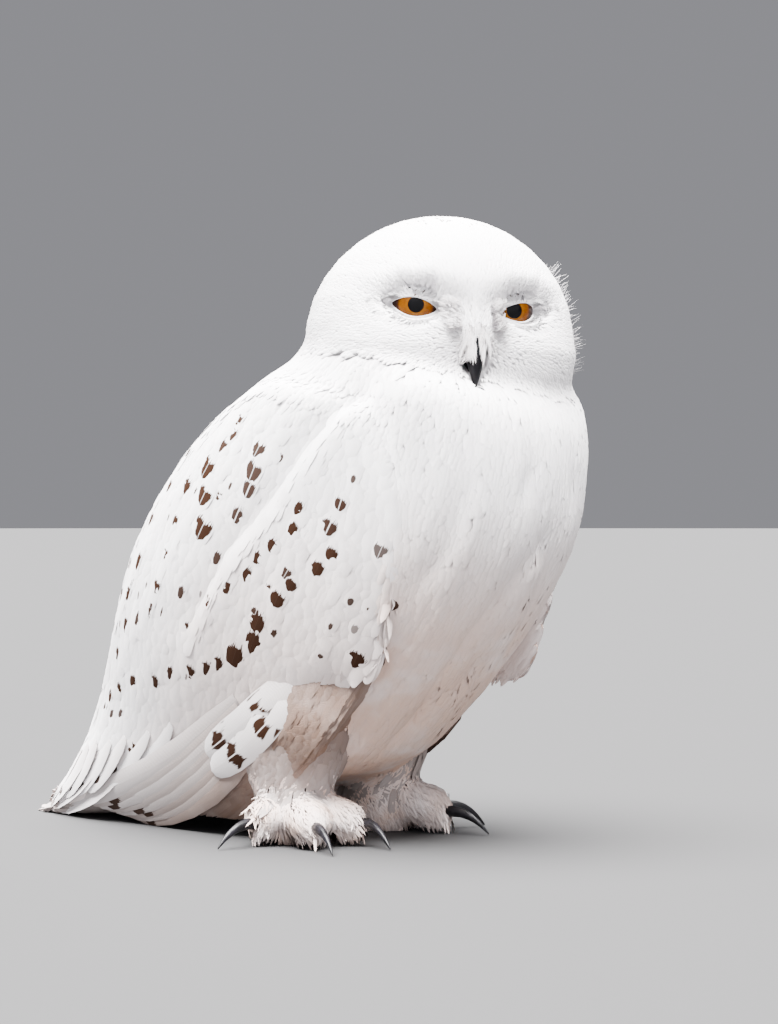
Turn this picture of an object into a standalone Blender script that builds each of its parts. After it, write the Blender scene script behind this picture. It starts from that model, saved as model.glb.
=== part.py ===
"""Snowy owl, adult male, as a still life-size model that stands on its feet and tail.

Metres, +Z up. The owl faces -Y, so its own right side is at -X. Points are written in millimetres
as (right, forward, up) by the owl's own sides, and owl_point() turns them into the frame.
The solids are the outer shape of the plumage, out to the tips of the feathers.
"""

import math

import bmesh
import bpy
from mathutils import Matrix, Vector

MM = 0.001
GAP = 0.3  # clear space between neighbouring solids
CUT = 0.55  # how much a neighbour's cutter stands out past that neighbour

# The body from neck to tail tip: back and breast points (forward, up) and half width of each
# level. The levels fan out from nearly upright at the neck to nearly flat at the tail.
BODY_LEVELS = (
    ((20, 304), (126, 265), 72),
    ((-2, 291), (138, 256), 84),
    ((-40, 275), (145, 242), 89),
    ((-78, 251), (146, 212), 93),
    ((-110, 221), (139, 175), 95),
    ((-137, 184), (119, 138), 94),
    ((-156, 148), (92, 103), 88),
    ((-171, 112), (63, 71), 77),
    ((-185, 80), (30, 43), 64),
    ((-199, 53), (-42, 23), 53),
    ((-212, 32), (-112, 8), 44),
    ((-226, 16), (-176, 4), 33),
    ((-239, 7), (-232, 2.5), 17),
)
BODY_SIDES = 24
BODY_FULLNESS = 2.35  # exponent of the levels' rounded outline; 2 is an ellipse

NECK_LEVELS = (0.4, 1.98)
NECK_RINGS = 4
TRUNK_LEVELS = (2.0, 9.3)
TRUNK_RINGS = 14

# Each folded wing is a shell that lies on the body. For each level: the angles round the body,
# in degrees from the back, at which it begins and ends, how thick it is, and how far its front
# edge flares away from the body on the right and on the left.
WING_LEVELS = (
    (1.95, 60, 96, 5, 0, 0),
    (2.4, 48, 109, 9, 0, 0),
    (3.0, 40, 119, 12, 0, 0),
    (4.0, 30, 127, 14, 1, 2),
    (5.0, 20, 134, 14, 4, 9),
    (5.6, 14, 139, 13, 6, 14),
    (6.1, 10, 141, 12, 8, 19),
    (6.6, 8, 126, 11, 3, 7),
    (7.5, 6, 117, 10, 0, 0),
    (8.3, 5, 114, 8, 0, 0),
    (9.2, 4, 119, 7, 0, 0),
    (10.2, 4, 112, 6, 0, 0),
    (11.1, 4, 86, 4.5, 0, 0),
    (11.8, 5, 62, 3, 0, 0),
)
WING_STANDS_OUT = 3.5  # how far the wing's outer face stands out from the body's outline
WING_ROWS = 16
WING_COLUMNS = 8
WING_EDGE = 1.6  # thickness left at the wing's edges

# The head's own frame: centre on the midline, turned to the owl's right.
HEAD_CENTRE = (0, 64, 293)
HEAD_TURN = 35
HEAD_ROLL = 1.6  # the crown leans to the owl's left
HEAD_SIZE = (80, 63, 74, 72, 66)  # half width, front, back, up and down
HEAD_RINGS = 17
HEAD_SIDES = 26

# (right, forward, up) in the head's frame
EYE_CENTRE = (27.5, 35.5, 15.5)
EYE_RADIUS = 15.5
EYE_TURN = 19  # each eye looks out to its own side by this angle
LID_OPENING = (13.2, 6.4)  # half width and half height of the open lids
LID_SLANT = 7  # the inner corner is lower

# The head's swellings and hollows: right, forward, up, radius across, radius up, height.
HEAD_FORMS = (
    (0, 62, -16, 21, 25, 4.0),  # bristled mound round the bill
    (0, 60, 12, 9, 20, 3.0),  # bridge between the eyes
    (27, 55, 32, 23, 9, 5.5),  # brow over each eye
    (29, 55, 17, 17, 9, -5.5),  # hollow that the eye sits in
    (42, 45, -12, 24, 22, 3.5),  # cheek
    (20, 50, -46, 26, 14, 3.0),  # lower rim of the facial disc
    (0, 44, 50, 34, 22, 5.0),  # rounded forehead
)

# Each half of the bill follows an arc: its radius, the angles it runs between, how far it is
# below the start, half width, depth and number of rings.
BILL_START = (0, 40, 1)
BILL_UPPER = (25, (20, 108), 0, 8.0, 9.5, 9)
BILL_LOWER = (15.5, (20, 84), 9, 6.4, 5.9, 6)
BILL_SIDES = 10
BILL_TIP = 0.06  # the tip's share of the bill's full thickness

LEG_RINGS = 7
TARSUS_TOP = 30  # height of the thin cut between leg and foot

CLAW_RADIUS = 4.0
CLAW_RINGS = 6
CLAW_SIDES = 7

# Feet by the owl's own side: foot centre (right, forward) and each toe's end and claw tip.
FEET = {
    "right": {
        "centre": (50, -5),
        "inner": ((43, 43), (50, 66)),
        "middle": ((79, 36), (91, 57)),
        "outer": ((86, -9), (109, -13)),
        "hind": ((38, -40), (32, -60)),
    },
    "left": {
        "centre": (-34, -7),
        "inner": ((-38, 45), (-43, 68)),
        "middle": ((-62, 27), (-80, 38)),
        "outer": ((-70, -20), (-92, -30)),
        "hind": ((-27, -43), (-23, -63)),
    },
}
SIDES = ("right", "left")
TOES = ("inner", "middle", "outer", "hind")
TOE_RADII = (15.0, 12.0)  # at the foot and at the toe's end
TOE_REST = 1.2  # how far the toes' round undersides would reach below the floor

# Colour and roughness
WHITE_PLUMAGE = ((0.82, 0.80, 0.79, 1), 0.8)
CREAM_PLUMAGE = ((0.80, 0.73, 0.66, 1), 0.85)
DARK_HORN = ((0.035, 0.033, 0.04, 1), 0.3)
AMBER_EYE = ((0.72, 0.30, 0.02, 1), 0.1)


def owl_point(right, forward, up):
    """A point in the frame, in metres, from the owl's own sides in millimetres."""
    return Vector((-right, -forward, up)) * MM


def head_matrix():
    """From the head's own frame, in millimetres, to the frame in metres."""
    turn = Matrix.Rotation(math.radians(-HEAD_TURN), 4, "Z")
    roll = Matrix.Rotation(math.radians(HEAD_ROLL), 4, "Y")
    return Matrix.Translation(owl_point(*HEAD_CENTRE)) @ turn @ roll @ Matrix.Diagonal((-MM, -MM, MM, 1))


def between(a, b, share):
    return a + (b - a) * share


def smooth_row(rows, place):
    """The row of numbers at a fractional place in rows, along a smooth curve through them."""
    i = min(int(place), len(rows) - 2)
    t = place - i
    before, here, after, beyond = (rows[max(0, min(len(rows) - 1, i + k))] for k in (-1, 0, 1, 2))
    return [
        0.5 * (2 * b + (c - a) * t + (2 * a - 5 * b + 4 * c - d) * t**2 + (3 * b - a - 3 * c + d) * t**3)
        for a, b, c, d in zip(before, here, after, beyond)
    ]


def rounded(angle, fullness):
    """Sine and cosine of the angle, pushed out to a fuller outline than a circle's."""
    power = 2 / fullness
    s, c = math.sin(angle), math.cos(angle)
    return math.copysign(abs(s) ** power, s), math.copysign(abs(c) ** power, c)


def body_outline(level, angle):
    """The body's outline at a level, at an angle in degrees from the back to the owl's right."""
    rows = [(*back, *breast, half) for back, breast, half in BODY_LEVELS]
    back_f, back_u, breast_f, breast_u, half = smooth_row(rows, level)
    middle = Vector((0, (back_f + breast_f) / 2, (back_u + breast_u) / 2))
    along = Vector((0, back_f - breast_f, back_u - breast_u)) / 2
    s, c = rounded(math.radians(angle), BODY_FULLNESS)
    return middle + Vector((half * s, 0, 0)) + along * c


def body_surface(level, angle):
    """A point of the body's outline and the direction straight out of the surface there."""
    point = body_outline(level, angle)
    round_it = body_outline(level, angle + 2) - body_outline(level, angle - 2)
    down_it = body_outline(level + 0.1, angle) - body_outline(level - 0.1, angle)
    out = round_it.cross(down_it).normalized()
    middle = (body_outline(level, 0) + body_outline(level, 180)) / 2
    return point, out if out.dot(point - middle) > 0 else -out


def new_material(name, colour, roughness):
    material = bpy.data.materials.new(name)
    material.use_nodes = True
    shader = material.node_tree.nodes["Principled BSDF"]
    shader.inputs["Base Color"].default_value = colour
    shader.inputs["Roughness"].default_value = roughness
    return material


def new_object(name, bm, finish=None):
    """An object from a bmesh whose points are already in place; one with no finish is a cutter."""
    bmesh.ops.triangulate(bm, faces=bm.faces)
    bmesh.ops.recalc_face_normals(bm, faces=bm.faces)
    mesh = bpy.data.meshes.new(name)
    bm.to_mesh(mesh)
    bm.free()
    if finish:
        mesh.shade_smooth()
        mesh.set_sharp_from_angle(angle=math.radians(50))
        mesh.materials.append(new_material(name, *finish))
    made = bpy.data.objects.new(name, mesh)
    bpy.context.scene.collection.objects.link(made)
    return made


def hide_cutter(made):
    """Keeps a cutter out of renders."""
    made.name = "cutter_" + made.name
    made.hide_render = True
    made.display_type = "WIRE"
    return made


def cutter_of(obj, grow=CUT):
    """A hidden copy of a piece, grown a little all round, which cuts that piece's room."""
    bm = bmesh.new()
    bm.from_mesh(obj.data)
    bm.normal_update()
    for vert in bm.verts:
        vert.co += vert.normal * grow * min(vert.calc_shell_factor(), 2.5) * MM
    return hide_cutter(new_object(obj.name, bm))


def add_boolean(obj, other, operation):
    modifier = obj.modifiers.new(f"{operation.lower()} {other.name}", "BOOLEAN")
    modifier.object = other
    modifier.operation = operation
    modifier.solver = "EXACT"


def cut_away(obj, *cutters):
    for cutter in cutters:
        add_boolean(obj, cutter, "DIFFERENCE")


def loft(bm, rings, folded=False):
    """Skins rings of points, with as many points each, and closes both ends.

    A folded ring goes out along one face of a shell and back along the other.
    """
    made = [[bm.verts.new(point) for point in ring] for ring in rings]
    for one, two in zip(made, made[1:]):
        for i in range(len(one)):
            j = (i + 1) % len(one)
            bm.faces.new((one[i], one[j], two[j], two[i]))
    for ring in (made[0], made[-1]):
        if folded:
            for i in range(len(ring) // 2 - 1):
                bm.faces.new((ring[i], ring[i + 1], ring[-2 - i], ring[-1 - i]))
            continue
        centre = bm.verts.new(sum((v.co for v in ring), Vector()) / len(ring))
        for i in range(len(ring)):
            bm.faces.new((centre, ring[i], ring[(i + 1) % len(ring)]))


def tube_rings(centres, sizes, sides, up=Vector((0, 0, 1))):
    """Rings of an elliptic tube: its centres, and half width and half depth at each, in mm."""
    rings = []
    for i, centre in enumerate(centres):
        ahead = centres[min(i + 1, len(centres) - 1)] - centres[max(i - 1, 0)]
        side = ahead.cross(up).normalized()
        rise = side.cross(ahead).normalized()
        width, depth = sizes[i]
        ring = []
        for k in range(sides):
            angle = 2 * math.pi * k / sides
            ring.append(centre + side * width * math.cos(angle) + rise * depth * math.sin(angle))
        rings.append(ring)
    return rings


def make_body_length(name, levels, rings, finish):
    """A closed length of the body between two of its levels."""
    low, high = levels
    bm = bmesh.new()
    made = []
    for i in range(rings):
        level = between(low, high, i / (rings - 1))
        angles = [360 * k / BODY_SIDES for k in range(BODY_SIDES)]
        made.append([owl_point(*body_outline(level, angle)) for angle in angles])
    loft(bm, made)
    return new_object(name, bm, finish)


def wing_thickness(across, thick):
    """The wing's thickness at a share of the way across it: full in the middle, thin at the edges."""
    bow = 1 - abs(2 * across - 1) ** 3.2
    return WING_EDGE + (thick - WING_EDGE) * bow


def make_wing(side, finish):
    """A folded wing: a closed shell along the body's flank, from the wrist to the wing's tip."""
    mirror = 1 if side == "right" else -1
    outer, inner = [], []
    for row in range(WING_ROWS):
        place = row / (WING_ROWS - 1) * (len(WING_LEVELS) - 1)
        level, begin, end, thick, *flares = smooth_row(WING_LEVELS, place)
        flare = flares[side == "left"]
        outer_row, inner_row = [], []
        for column in range(WING_COLUMNS):
            across = column / (WING_COLUMNS - 1)
            point, out = body_surface(level, between(begin, end, across))
            depth = wing_thickness(across, thick)
            stands_out = min(WING_STANDS_OUT, depth) + flare * max(0, across * 3 - 2) ** 1.5
            for stretch, offset in ((outer_row, stands_out), (inner_row, stands_out - depth)):
                moved = point + out * offset
                stretch.append(owl_point(moved.x * mirror, moved.y, moved.z))
        outer.append(outer_row)
        inner.append(inner_row)
    bm = bmesh.new()
    rings = [[*over, *reversed(under)] for over, under in zip(outer, inner)]
    loft(bm, rings, folded=True)
    return new_object(f"wing_{side}", bm, finish)


def make_tail(finish):
    """The tail: a flat wedge from under the rump to a rounded tip on the floor."""
    # forward, up, half width and half thickness
    stations = (
        (-88, 38, 28, 19),
        (-122, 28, 34, 17),
        (-156, 17, 37, 12),
        (-186, 7.5, 38, 7.5),
        (-214, 4.6, 36, 5),
        (-235, 3.2, 29, 3.4),
        (-246, 2.2, 17, 2.2),
    )
    centres, sizes = [], []
    count = 10
    for i in range(count):
        forward, up, width, depth = smooth_row(stations, i / (count - 1) * (len(stations) - 1))
        centres.append(Vector((0, forward, up)))
        sizes.append((width, depth))
    rings = tube_rings(centres, sizes, 14)
    bm = bmesh.new()
    loft(bm, [[owl_point(*point) for point in ring] for ring in rings])
    return new_object("tail", bm, finish)


def head_radius(direction):
    """How far the head's surface is from its centre along a unit direction in its own frame."""
    half_width, front, back, up, down = HEAD_SIZE
    right, forward, height = direction
    depth = front if forward > 0 else back
    rise = up if height > 0 else down
    power = 1.98 + 0.2 * forward if height > 0 else 2.35
    total = (
        (abs(right) / half_width) ** power + (abs(forward) / depth) ** power + (abs(height) / rise) ** power
    )
    return total ** (-1 / power)


def head_form(point, form, mirrored):
    """The height that one of HEAD_FORMS adds at a point of the head."""
    right, forward, up, across, high, height = form
    right = -right if mirrored else right
    d = ((point.x - right) / across) ** 2 + ((point.y - forward) / (1.3 * across)) ** 2
    d += ((point.z - up) / high) ** 2
    return height * math.exp(-d)


def head_point(direction):
    """The head's surface along a unit direction, with its brows, cheeks and bill mound."""
    plain = direction * head_radius(direction)
    height = 0
    for form in HEAD_FORMS:
        height += head_form(plain, form, False)
        if form[0]:
            height += head_form(plain, form, True)
    return plain + direction * height


def make_head(finish):
    """The whole head, as a rounded form shaped ring by ring from the crown down."""
    to_frame = head_matrix()
    bm = bmesh.new()
    rings = []
    for i in range(1, HEAD_RINGS):
        polar = math.pi * i / HEAD_RINGS
        ring = []
        for k in range(HEAD_SIDES):
            turn = 2 * math.pi * k / HEAD_SIDES
            direction = Vector(
                (math.sin(polar) * math.sin(turn), math.sin(polar) * math.cos(turn), math.cos(polar))
            )
            ring.append(to_frame @ head_point(direction))
        rings.append(ring)
    loft(bm, rings)
    return new_object("head", bm, finish)


def eye_frame(side):
    """From an eye's own frame, looking along its +Y with Z up, to the frame."""
    mirror = 1 if side == "right" else -1
    right, forward, up = EYE_CENTRE
    place = Matrix.Translation((right * mirror, forward, up))
    turn = Matrix.Rotation(math.radians(-EYE_TURN * mirror), 4, "Z")
    slant = Matrix.Rotation(math.radians(-LID_SLANT * mirror), 4, "Y")
    return head_matrix() @ place @ turn @ slant


def make_eye(side, finish):
    bm = bmesh.new()
    bmesh.ops.create_uvsphere(bm, u_segments=14, v_segments=8, radius=EYE_RADIUS)
    bmesh.ops.rotate(bm, verts=bm.verts, matrix=Matrix.Rotation(math.pi / 2, 3, "X"))
    bm.transform(eye_frame(side))
    return new_object(f"eye_{side}", bm, finish)


def make_lid_cutter(side):
    """The almond-shaped opening between the lids, cut from the eye out through the face."""
    half_width, half_height = LID_OPENING
    sides = 20
    rings = []
    for forward, scale in ((5, 0.9), (EYE_RADIUS - 2, 1.0), (60, 1.75)):
        ring = []
        for k in range(sides):
            angle = 2 * math.pi * k / sides
            along = math.cos(angle)
            height = math.sin(angle) * (1 - 0.35 * along * along)
            ring.append(Vector((along * half_width * scale, forward, height * half_height * scale)))
        rings.append(ring)
    to_frame = eye_frame(side)
    bm = bmesh.new()
    loft(bm, [[to_frame @ point for point in ring] for ring in rings])
    return hide_cutter(new_object(f"lids_{side}", bm))


def make_bill_half(name, shape, finish):
    """A hooked half of the bill, tapering along its arc in the head's frame."""
    arc, (first, last), drop, width, depth, count = shape
    to_frame = head_matrix()
    start = Vector(BILL_START)
    rings = []
    for i in range(count):
        share = i / (count - 1)
        angle = math.radians(between(first, last, share))
        middle = Vector((0, start.y + arc * math.sin(angle), start.z - drop - arc * (1 - math.cos(angle))))
        outward = Vector((0, math.sin(angle), math.cos(angle)))
        taper = between(1, BILL_TIP, share**1.6)
        ring = []
        for k in range(BILL_SIDES):
            turn = 2 * math.pi * k / BILL_SIDES
            across = Vector((width * taper * math.sin(turn), 0, 0))
            ring.append(to_frame @ (middle + outward * depth * taper * math.cos(turn) + across))
        rings.append(ring)
    bm = bmesh.new()
    loft(bm, rings)
    return new_object(name, bm, finish)


def make_leg(side, finish):
    """The feathered thigh, from inside the belly down to the ankle."""
    mirror = 1 if side == "right" else -1
    right, forward = FEET[side]["centre"]
    # inward shift, forward shift, up, half width, half depth
    stations = (
        (2, 4, 108, 20, 26),
        (-1, 4, 86, 28, 36),
        (-1, 0, 62, 30, 37),
        (0, -2, 42, 26, 30),
        (0, -2, TARSUS_TOP + GAP, 21, 24),
    )
    rings = []
    for i in range(LEG_RINGS):
        place = i / (LEG_RINGS - 1) * (len(stations) - 1)
        inward, ahead, up, width, depth = smooth_row(stations, place)
        centre = Vector((right - inward * mirror, forward + ahead, up))
        ring = []
        for k in range(14):
            angle = 2 * math.pi * k / 14
            ring.append(owl_point(*(centre + Vector((width * math.cos(angle), depth * math.sin(angle), 0)))))
        rings.append(ring)
    bm = bmesh.new()
    loft(bm, rings)
    return new_object(f"leg_{side}", bm, finish)


def toe_ends(side, toe):
    """A toe's start and end and its claw's tip, as (right, forward, up)."""
    end, tip = FEET[side][toe]
    start_radius, end_radius = TOE_RADII
    centre = Vector((*FEET[side]["centre"], start_radius - TOE_REST + 2))
    return centre, Vector((*end, end_radius - TOE_REST)), Vector((*tip, 0.9))


def make_toe(side, toe, grow=0.0):
    """A feathered toe as a rounded tapering form, for joining into its foot."""
    start, end, _ = toe_ends(side, toe)
    end = end + (end - start).normalized() * grow
    first, last = (radius + grow for radius in TOE_RADII)
    centres, sizes = [], []
    count = 6
    for i in range(count):
        share = i / (count - 1)
        radius = between(first, last, share)
        swell = 1 + 0.10 * math.sin(math.pi * share)
        closing = math.sqrt(max(0.0, 1 - max(0.0, (share - 0.72) / 0.28) ** 2)) * 0.72 + 0.28
        centre = start.lerp(end, share)
        centre.z += 4 * math.sin(math.pi * share)
        centres.append(centre)
        sizes.append((radius * swell * closing, radius * (0.92 * closing + 0.02)))
    rings = tube_rings(centres, sizes, 8)
    bm = bmesh.new()
    loft(bm, [[owl_point(*point) for point in ring] for ring in rings])
    return hide_cutter(new_object(f"{side}_{toe}_toe", bm))


def make_floor_cutter():
    """Everything below the floor, which takes small flats off the undersides of the feet."""
    bm = bmesh.new()
    bmesh.ops.create_cube(bm, size=1.0)
    bmesh.ops.scale(bm, vec=(0.7, 0.9, 0.1), verts=bm.verts)
    bmesh.ops.translate(bm, vec=(0, 0.05, -0.05), verts=bm.verts)
    return hide_cutter(new_object("floor", bm))


def make_pad(side, finish, grow=0.0):
    """The rounded pad under the ankle that the toes spring from."""
    right, forward = FEET[side]["centre"]
    # up, half width and half depth
    stations = (
        (-TOE_REST, 12, 14),
        (3, 19, 21),
        (10, 23, 25),
        (18, 23, 26),
        (25, 22, 25),
        (TARSUS_TOP + grow, 20.5, 23.5),
    )
    rings = []
    for up, width, depth in stations:
        ring = []
        for k in range(12):
            angle = 2 * math.pi * k / 12
            across = (width + grow) * math.cos(angle)
            ring.append(owl_point(right + across, forward + (depth + grow) * math.sin(angle), up))
        rings.append(ring)
    bm = bmesh.new()
    loft(bm, rings)
    return new_object(f"foot_{side}", bm, finish)


def make_foot(side, floor_cutter, finish):
    """A feathered foot: the pad joined to its four toes, flat underneath."""
    foot = make_pad(side, finish)
    for toe in TOES:
        add_boolean(foot, make_toe(side, toe), "UNION")
    cut_away(foot, floor_cutter)
    return foot


def make_claw(side, toe, finish):
    """A claw that leaves the toe's end, rises a little and curves down to the floor."""
    _, end, tip = toe_ends(side, toe)
    ahead = tip - end
    ahead.z = 0
    root = end - ahead.normalized() * 5 + Vector((0, 0, 2.5))
    knee = root.lerp(tip, 0.55) + Vector((0, 0, 9.5))
    centres, sizes = [], []
    for i in range(CLAW_RINGS):
        share = i / (CLAW_RINGS - 1)
        centres.append(root * (1 - share) ** 2 + knee * 2 * share * (1 - share) + tip * share**2)
        radius = CLAW_RADIUS * (1 - share**1.5) + 0.55 * share
        sizes.append((radius * 0.85, radius))
    rings = tube_rings(centres, sizes, CLAW_SIDES)
    bm = bmesh.new()
    loft(bm, [[owl_point(*point) for point in ring] for ring in rings])
    return new_object(f"claw_{side}_{toe}", bm, finish)


def clear_scene():
    for obj in list(bpy.data.objects):
        bpy.data.objects.remove(obj)


def stand_on_floor(owl):
    """Moves the owl so that the middle of its bounding box is over the origin, on the floor."""
    bpy.context.view_layer.update()
    graph = bpy.context.evaluated_depsgraph_get()
    corners = [
        obj.evaluated_get(graph).matrix_world @ Vector(corner)
        for obj in bpy.data.objects
        if obj.type == "MESH" and not obj.hide_render
        for corner in obj.evaluated_get(graph).bound_box
    ]
    low = Vector([min(c[i] for c in corners) for i in range(3)])
    high = Vector([max(c[i] for c in corners) for i in range(3)])
    owl.location = (-(low.x + high.x) / 2, -(low.y + high.y) / 2, -low.z)


def main():
    clear_scene()
    head = make_head(WHITE_PLUMAGE)
    neck = make_body_length("neck", NECK_LEVELS, NECK_RINGS, WHITE_PLUMAGE)
    trunk = make_body_length("trunk", TRUNK_LEVELS, TRUNK_RINGS, WHITE_PLUMAGE)
    tail = make_tail(WHITE_PLUMAGE)
    wings = [make_wing(side, WHITE_PLUMAGE) for side in SIDES]
    eyes = [make_eye(side, AMBER_EYE) for side in SIDES]
    lids = [make_lid_cutter(side) for side in SIDES]
    bill_upper = make_bill_half("bill_upper", BILL_UPPER, DARK_HORN)
    bill_lower = make_bill_half("bill_lower", BILL_LOWER, DARK_HORN)
    floor_cutter = make_floor_cutter()

    wing_cutters = [cutter_of(wing) for wing in wings]
    head_cutter = cutter_of(head)
    bill_cutters = [cutter_of(bill_upper), cutter_of(bill_lower)]
    tail_cutter = cutter_of(tail)

    cut_away(head, *lids, *(cutter_of(eye) for eye in eyes), *bill_cutters)
    cut_away(bill_lower, bill_cutters[0])
    cut_away(neck, head_cutter, bill_cutters[0], *wing_cutters)
    cut_away(trunk, head_cutter, bill_cutters[0], *wing_cutters, tail_cutter)
    for wing in wings:
        cut_away(wing, head_cutter, floor_cutter)
    cut_away(tail, *(cutter_of(wing, 2 * CUT) for wing in wings), floor_cutter)

    for side in SIDES:
        leg = make_leg(side, CREAM_PLUMAGE)
        foot = make_foot(side, floor_cutter, CREAM_PLUMAGE)
        leg_cutter = cutter_of(leg)
        room = [hide_cutter(make_pad(side, None, 2 * GAP))]
        room += [make_toe(side, toe, 2 * GAP) for toe in ("inner", "hind")]
        cut_away(trunk, leg_cutter, *room)
        cut_away(foot, leg_cutter)
        cut_away(leg, *wing_cutters)
        for toe in TOES:
            claw = make_claw(side, toe, DARK_HORN)
            cut_away(foot, cutter_of(claw))

    owl = bpy.data.objects.new("owl", None)
    bpy.context.scene.collection.objects.link(owl)
    for obj in list(bpy.data.objects):
        if obj is not owl:
            obj.parent = owl
    stand_on_floor(owl)


main()
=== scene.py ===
"""Looks of the snowy owl: its skin, feathers, eyes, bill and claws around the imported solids.

Sizes are in metres unless a name or comment says millimetres. The owl faces -Y, so its own right
side is at -X. Owl millimetres are (right, forward, up) by the owl's own sides.
"""

import math
import bmesh
import bpy
import numpy as np
from bpy.props import FloatProperty, FloatVectorProperty, PointerProperty
from mathutils import Matrix, Vector
from mathutils.bvhtree import BVHTree
from mathutils.kdtree import KDTree


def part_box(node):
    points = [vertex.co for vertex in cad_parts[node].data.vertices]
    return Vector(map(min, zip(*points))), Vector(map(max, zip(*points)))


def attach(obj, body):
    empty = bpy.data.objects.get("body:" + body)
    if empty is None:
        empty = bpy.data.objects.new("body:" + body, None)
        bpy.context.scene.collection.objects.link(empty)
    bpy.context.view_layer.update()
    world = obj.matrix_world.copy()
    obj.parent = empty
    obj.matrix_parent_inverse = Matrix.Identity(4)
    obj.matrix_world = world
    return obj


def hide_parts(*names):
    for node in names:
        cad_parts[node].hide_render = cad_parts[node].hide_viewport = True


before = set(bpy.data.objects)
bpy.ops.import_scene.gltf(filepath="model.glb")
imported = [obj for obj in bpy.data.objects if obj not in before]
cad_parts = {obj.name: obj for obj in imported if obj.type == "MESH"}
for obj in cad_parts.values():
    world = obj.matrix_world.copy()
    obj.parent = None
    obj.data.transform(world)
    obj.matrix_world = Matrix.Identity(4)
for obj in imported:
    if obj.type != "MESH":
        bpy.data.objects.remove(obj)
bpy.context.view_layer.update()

bl_info = {
    "name": "Snowy owl",
    "version": (1, 0, 0),
    "blender": (4, 5, 0),
    "location": "3D View > Sidebar > Owl",
    "description": "Dresses the snowy owl's solids in skin, feathers and horn",
    "category": "Object",
}

MM = 0.001
SIDES = ("right", "left")
MIRROR = {"right": 1, "left": -1}
TOES = ("inner", "middle", "outer", "hind")
PAIRED = [f"{name}_{side}" for name in ("wing", "leg", "foot") for side in SIDES]
FLESH = ("head", "neck", "trunk", "tail", *PAIRED)
HEAD, NECK, TRUNK, TAIL, WING_R, WING_L, LEG_R, LEG_L, FOOT_R, FOOT_L, LID = range(11)
WINGS = (WING_R, WING_L)
# How deep the coat is over each part of the skin, in mm, in the order of FLESH
COAT_DEPTH = (3.6, 5.5, 5.5, 2.2, 3.4, 3.4, 4.0, 4.0, 3.8, 3.8)
# Nothing hangs lower than these: the skin's and the feathers' points over the floor
SKIN_FLOOR, FEATHER_FLOOR = 0.0006, 0.0004
# Size of the cells that the skin is made from
VOXEL = 0.0024
# No piece may have as many triangles as this
MOST_TRIANGLES = 200000
# Side of a feather's patch on the unwrap
PATCH = 0.003

# The body from neck to tail: back and breast (forward, up) and half width of each level, in mm
BODY_LEVELS = np.array(
    (
        (20, 304, 126, 265, 72),
        (-2, 291, 138, 256, 84),
        (-40, 275, 145, 242, 89),
        (-78, 251, 146, 212, 93),
        (-110, 221, 139, 175, 95),
        (-137, 184, 119, 138, 94),
        (-156, 148, 92, 103, 88),
        (-171, 112, 63, 71, 77),
        (-185, 80, 30, 43, 64),
        (-199, 53, -42, 23, 53),
        (-212, 32, -112, 8, 44),
        (-226, 16, -176, 4, 33),
        (-239, 7, -232, 2.5, 17),
    ),
    float,
)
# How square the body's cross-section is: 2 would be an ellipse
BODY_FULLNESS = 2.35

EYE_RADIUS = 15.5
EYE_TURN = 19
LID_SLANT = 7
# How far each eye is turned from its lids' middle about its upright and its level axis
GAZE = {"right": 4, "left": -20}
GAZE_DOWN = 2
# Millimetres that the whole of the iris's map stands for
IRIS_MAP = 80
# The opening between the lids: half its length, and how far it rises over and falls under the gaze
LID_OPENING = (13.0, 4.7, 6.4)
EYE_IN_HEAD = Vector((27.5, 35.5, 15.5))
BILL_IN_HEAD = Vector((0, 62, -6))
# How far round an eye's middle its lids and their surroundings reach, in mm
ROUND_EYE = 34
# Stands for a share of the opening that is far from both eyes
AWAY_FROM_EYES = 9.0
# A place well in front of the face, in head millimetres
BEFORE_FACE = 120
# How far behind the body's own middle the head's is
HEAD_FORWARD = 64 * MM

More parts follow.
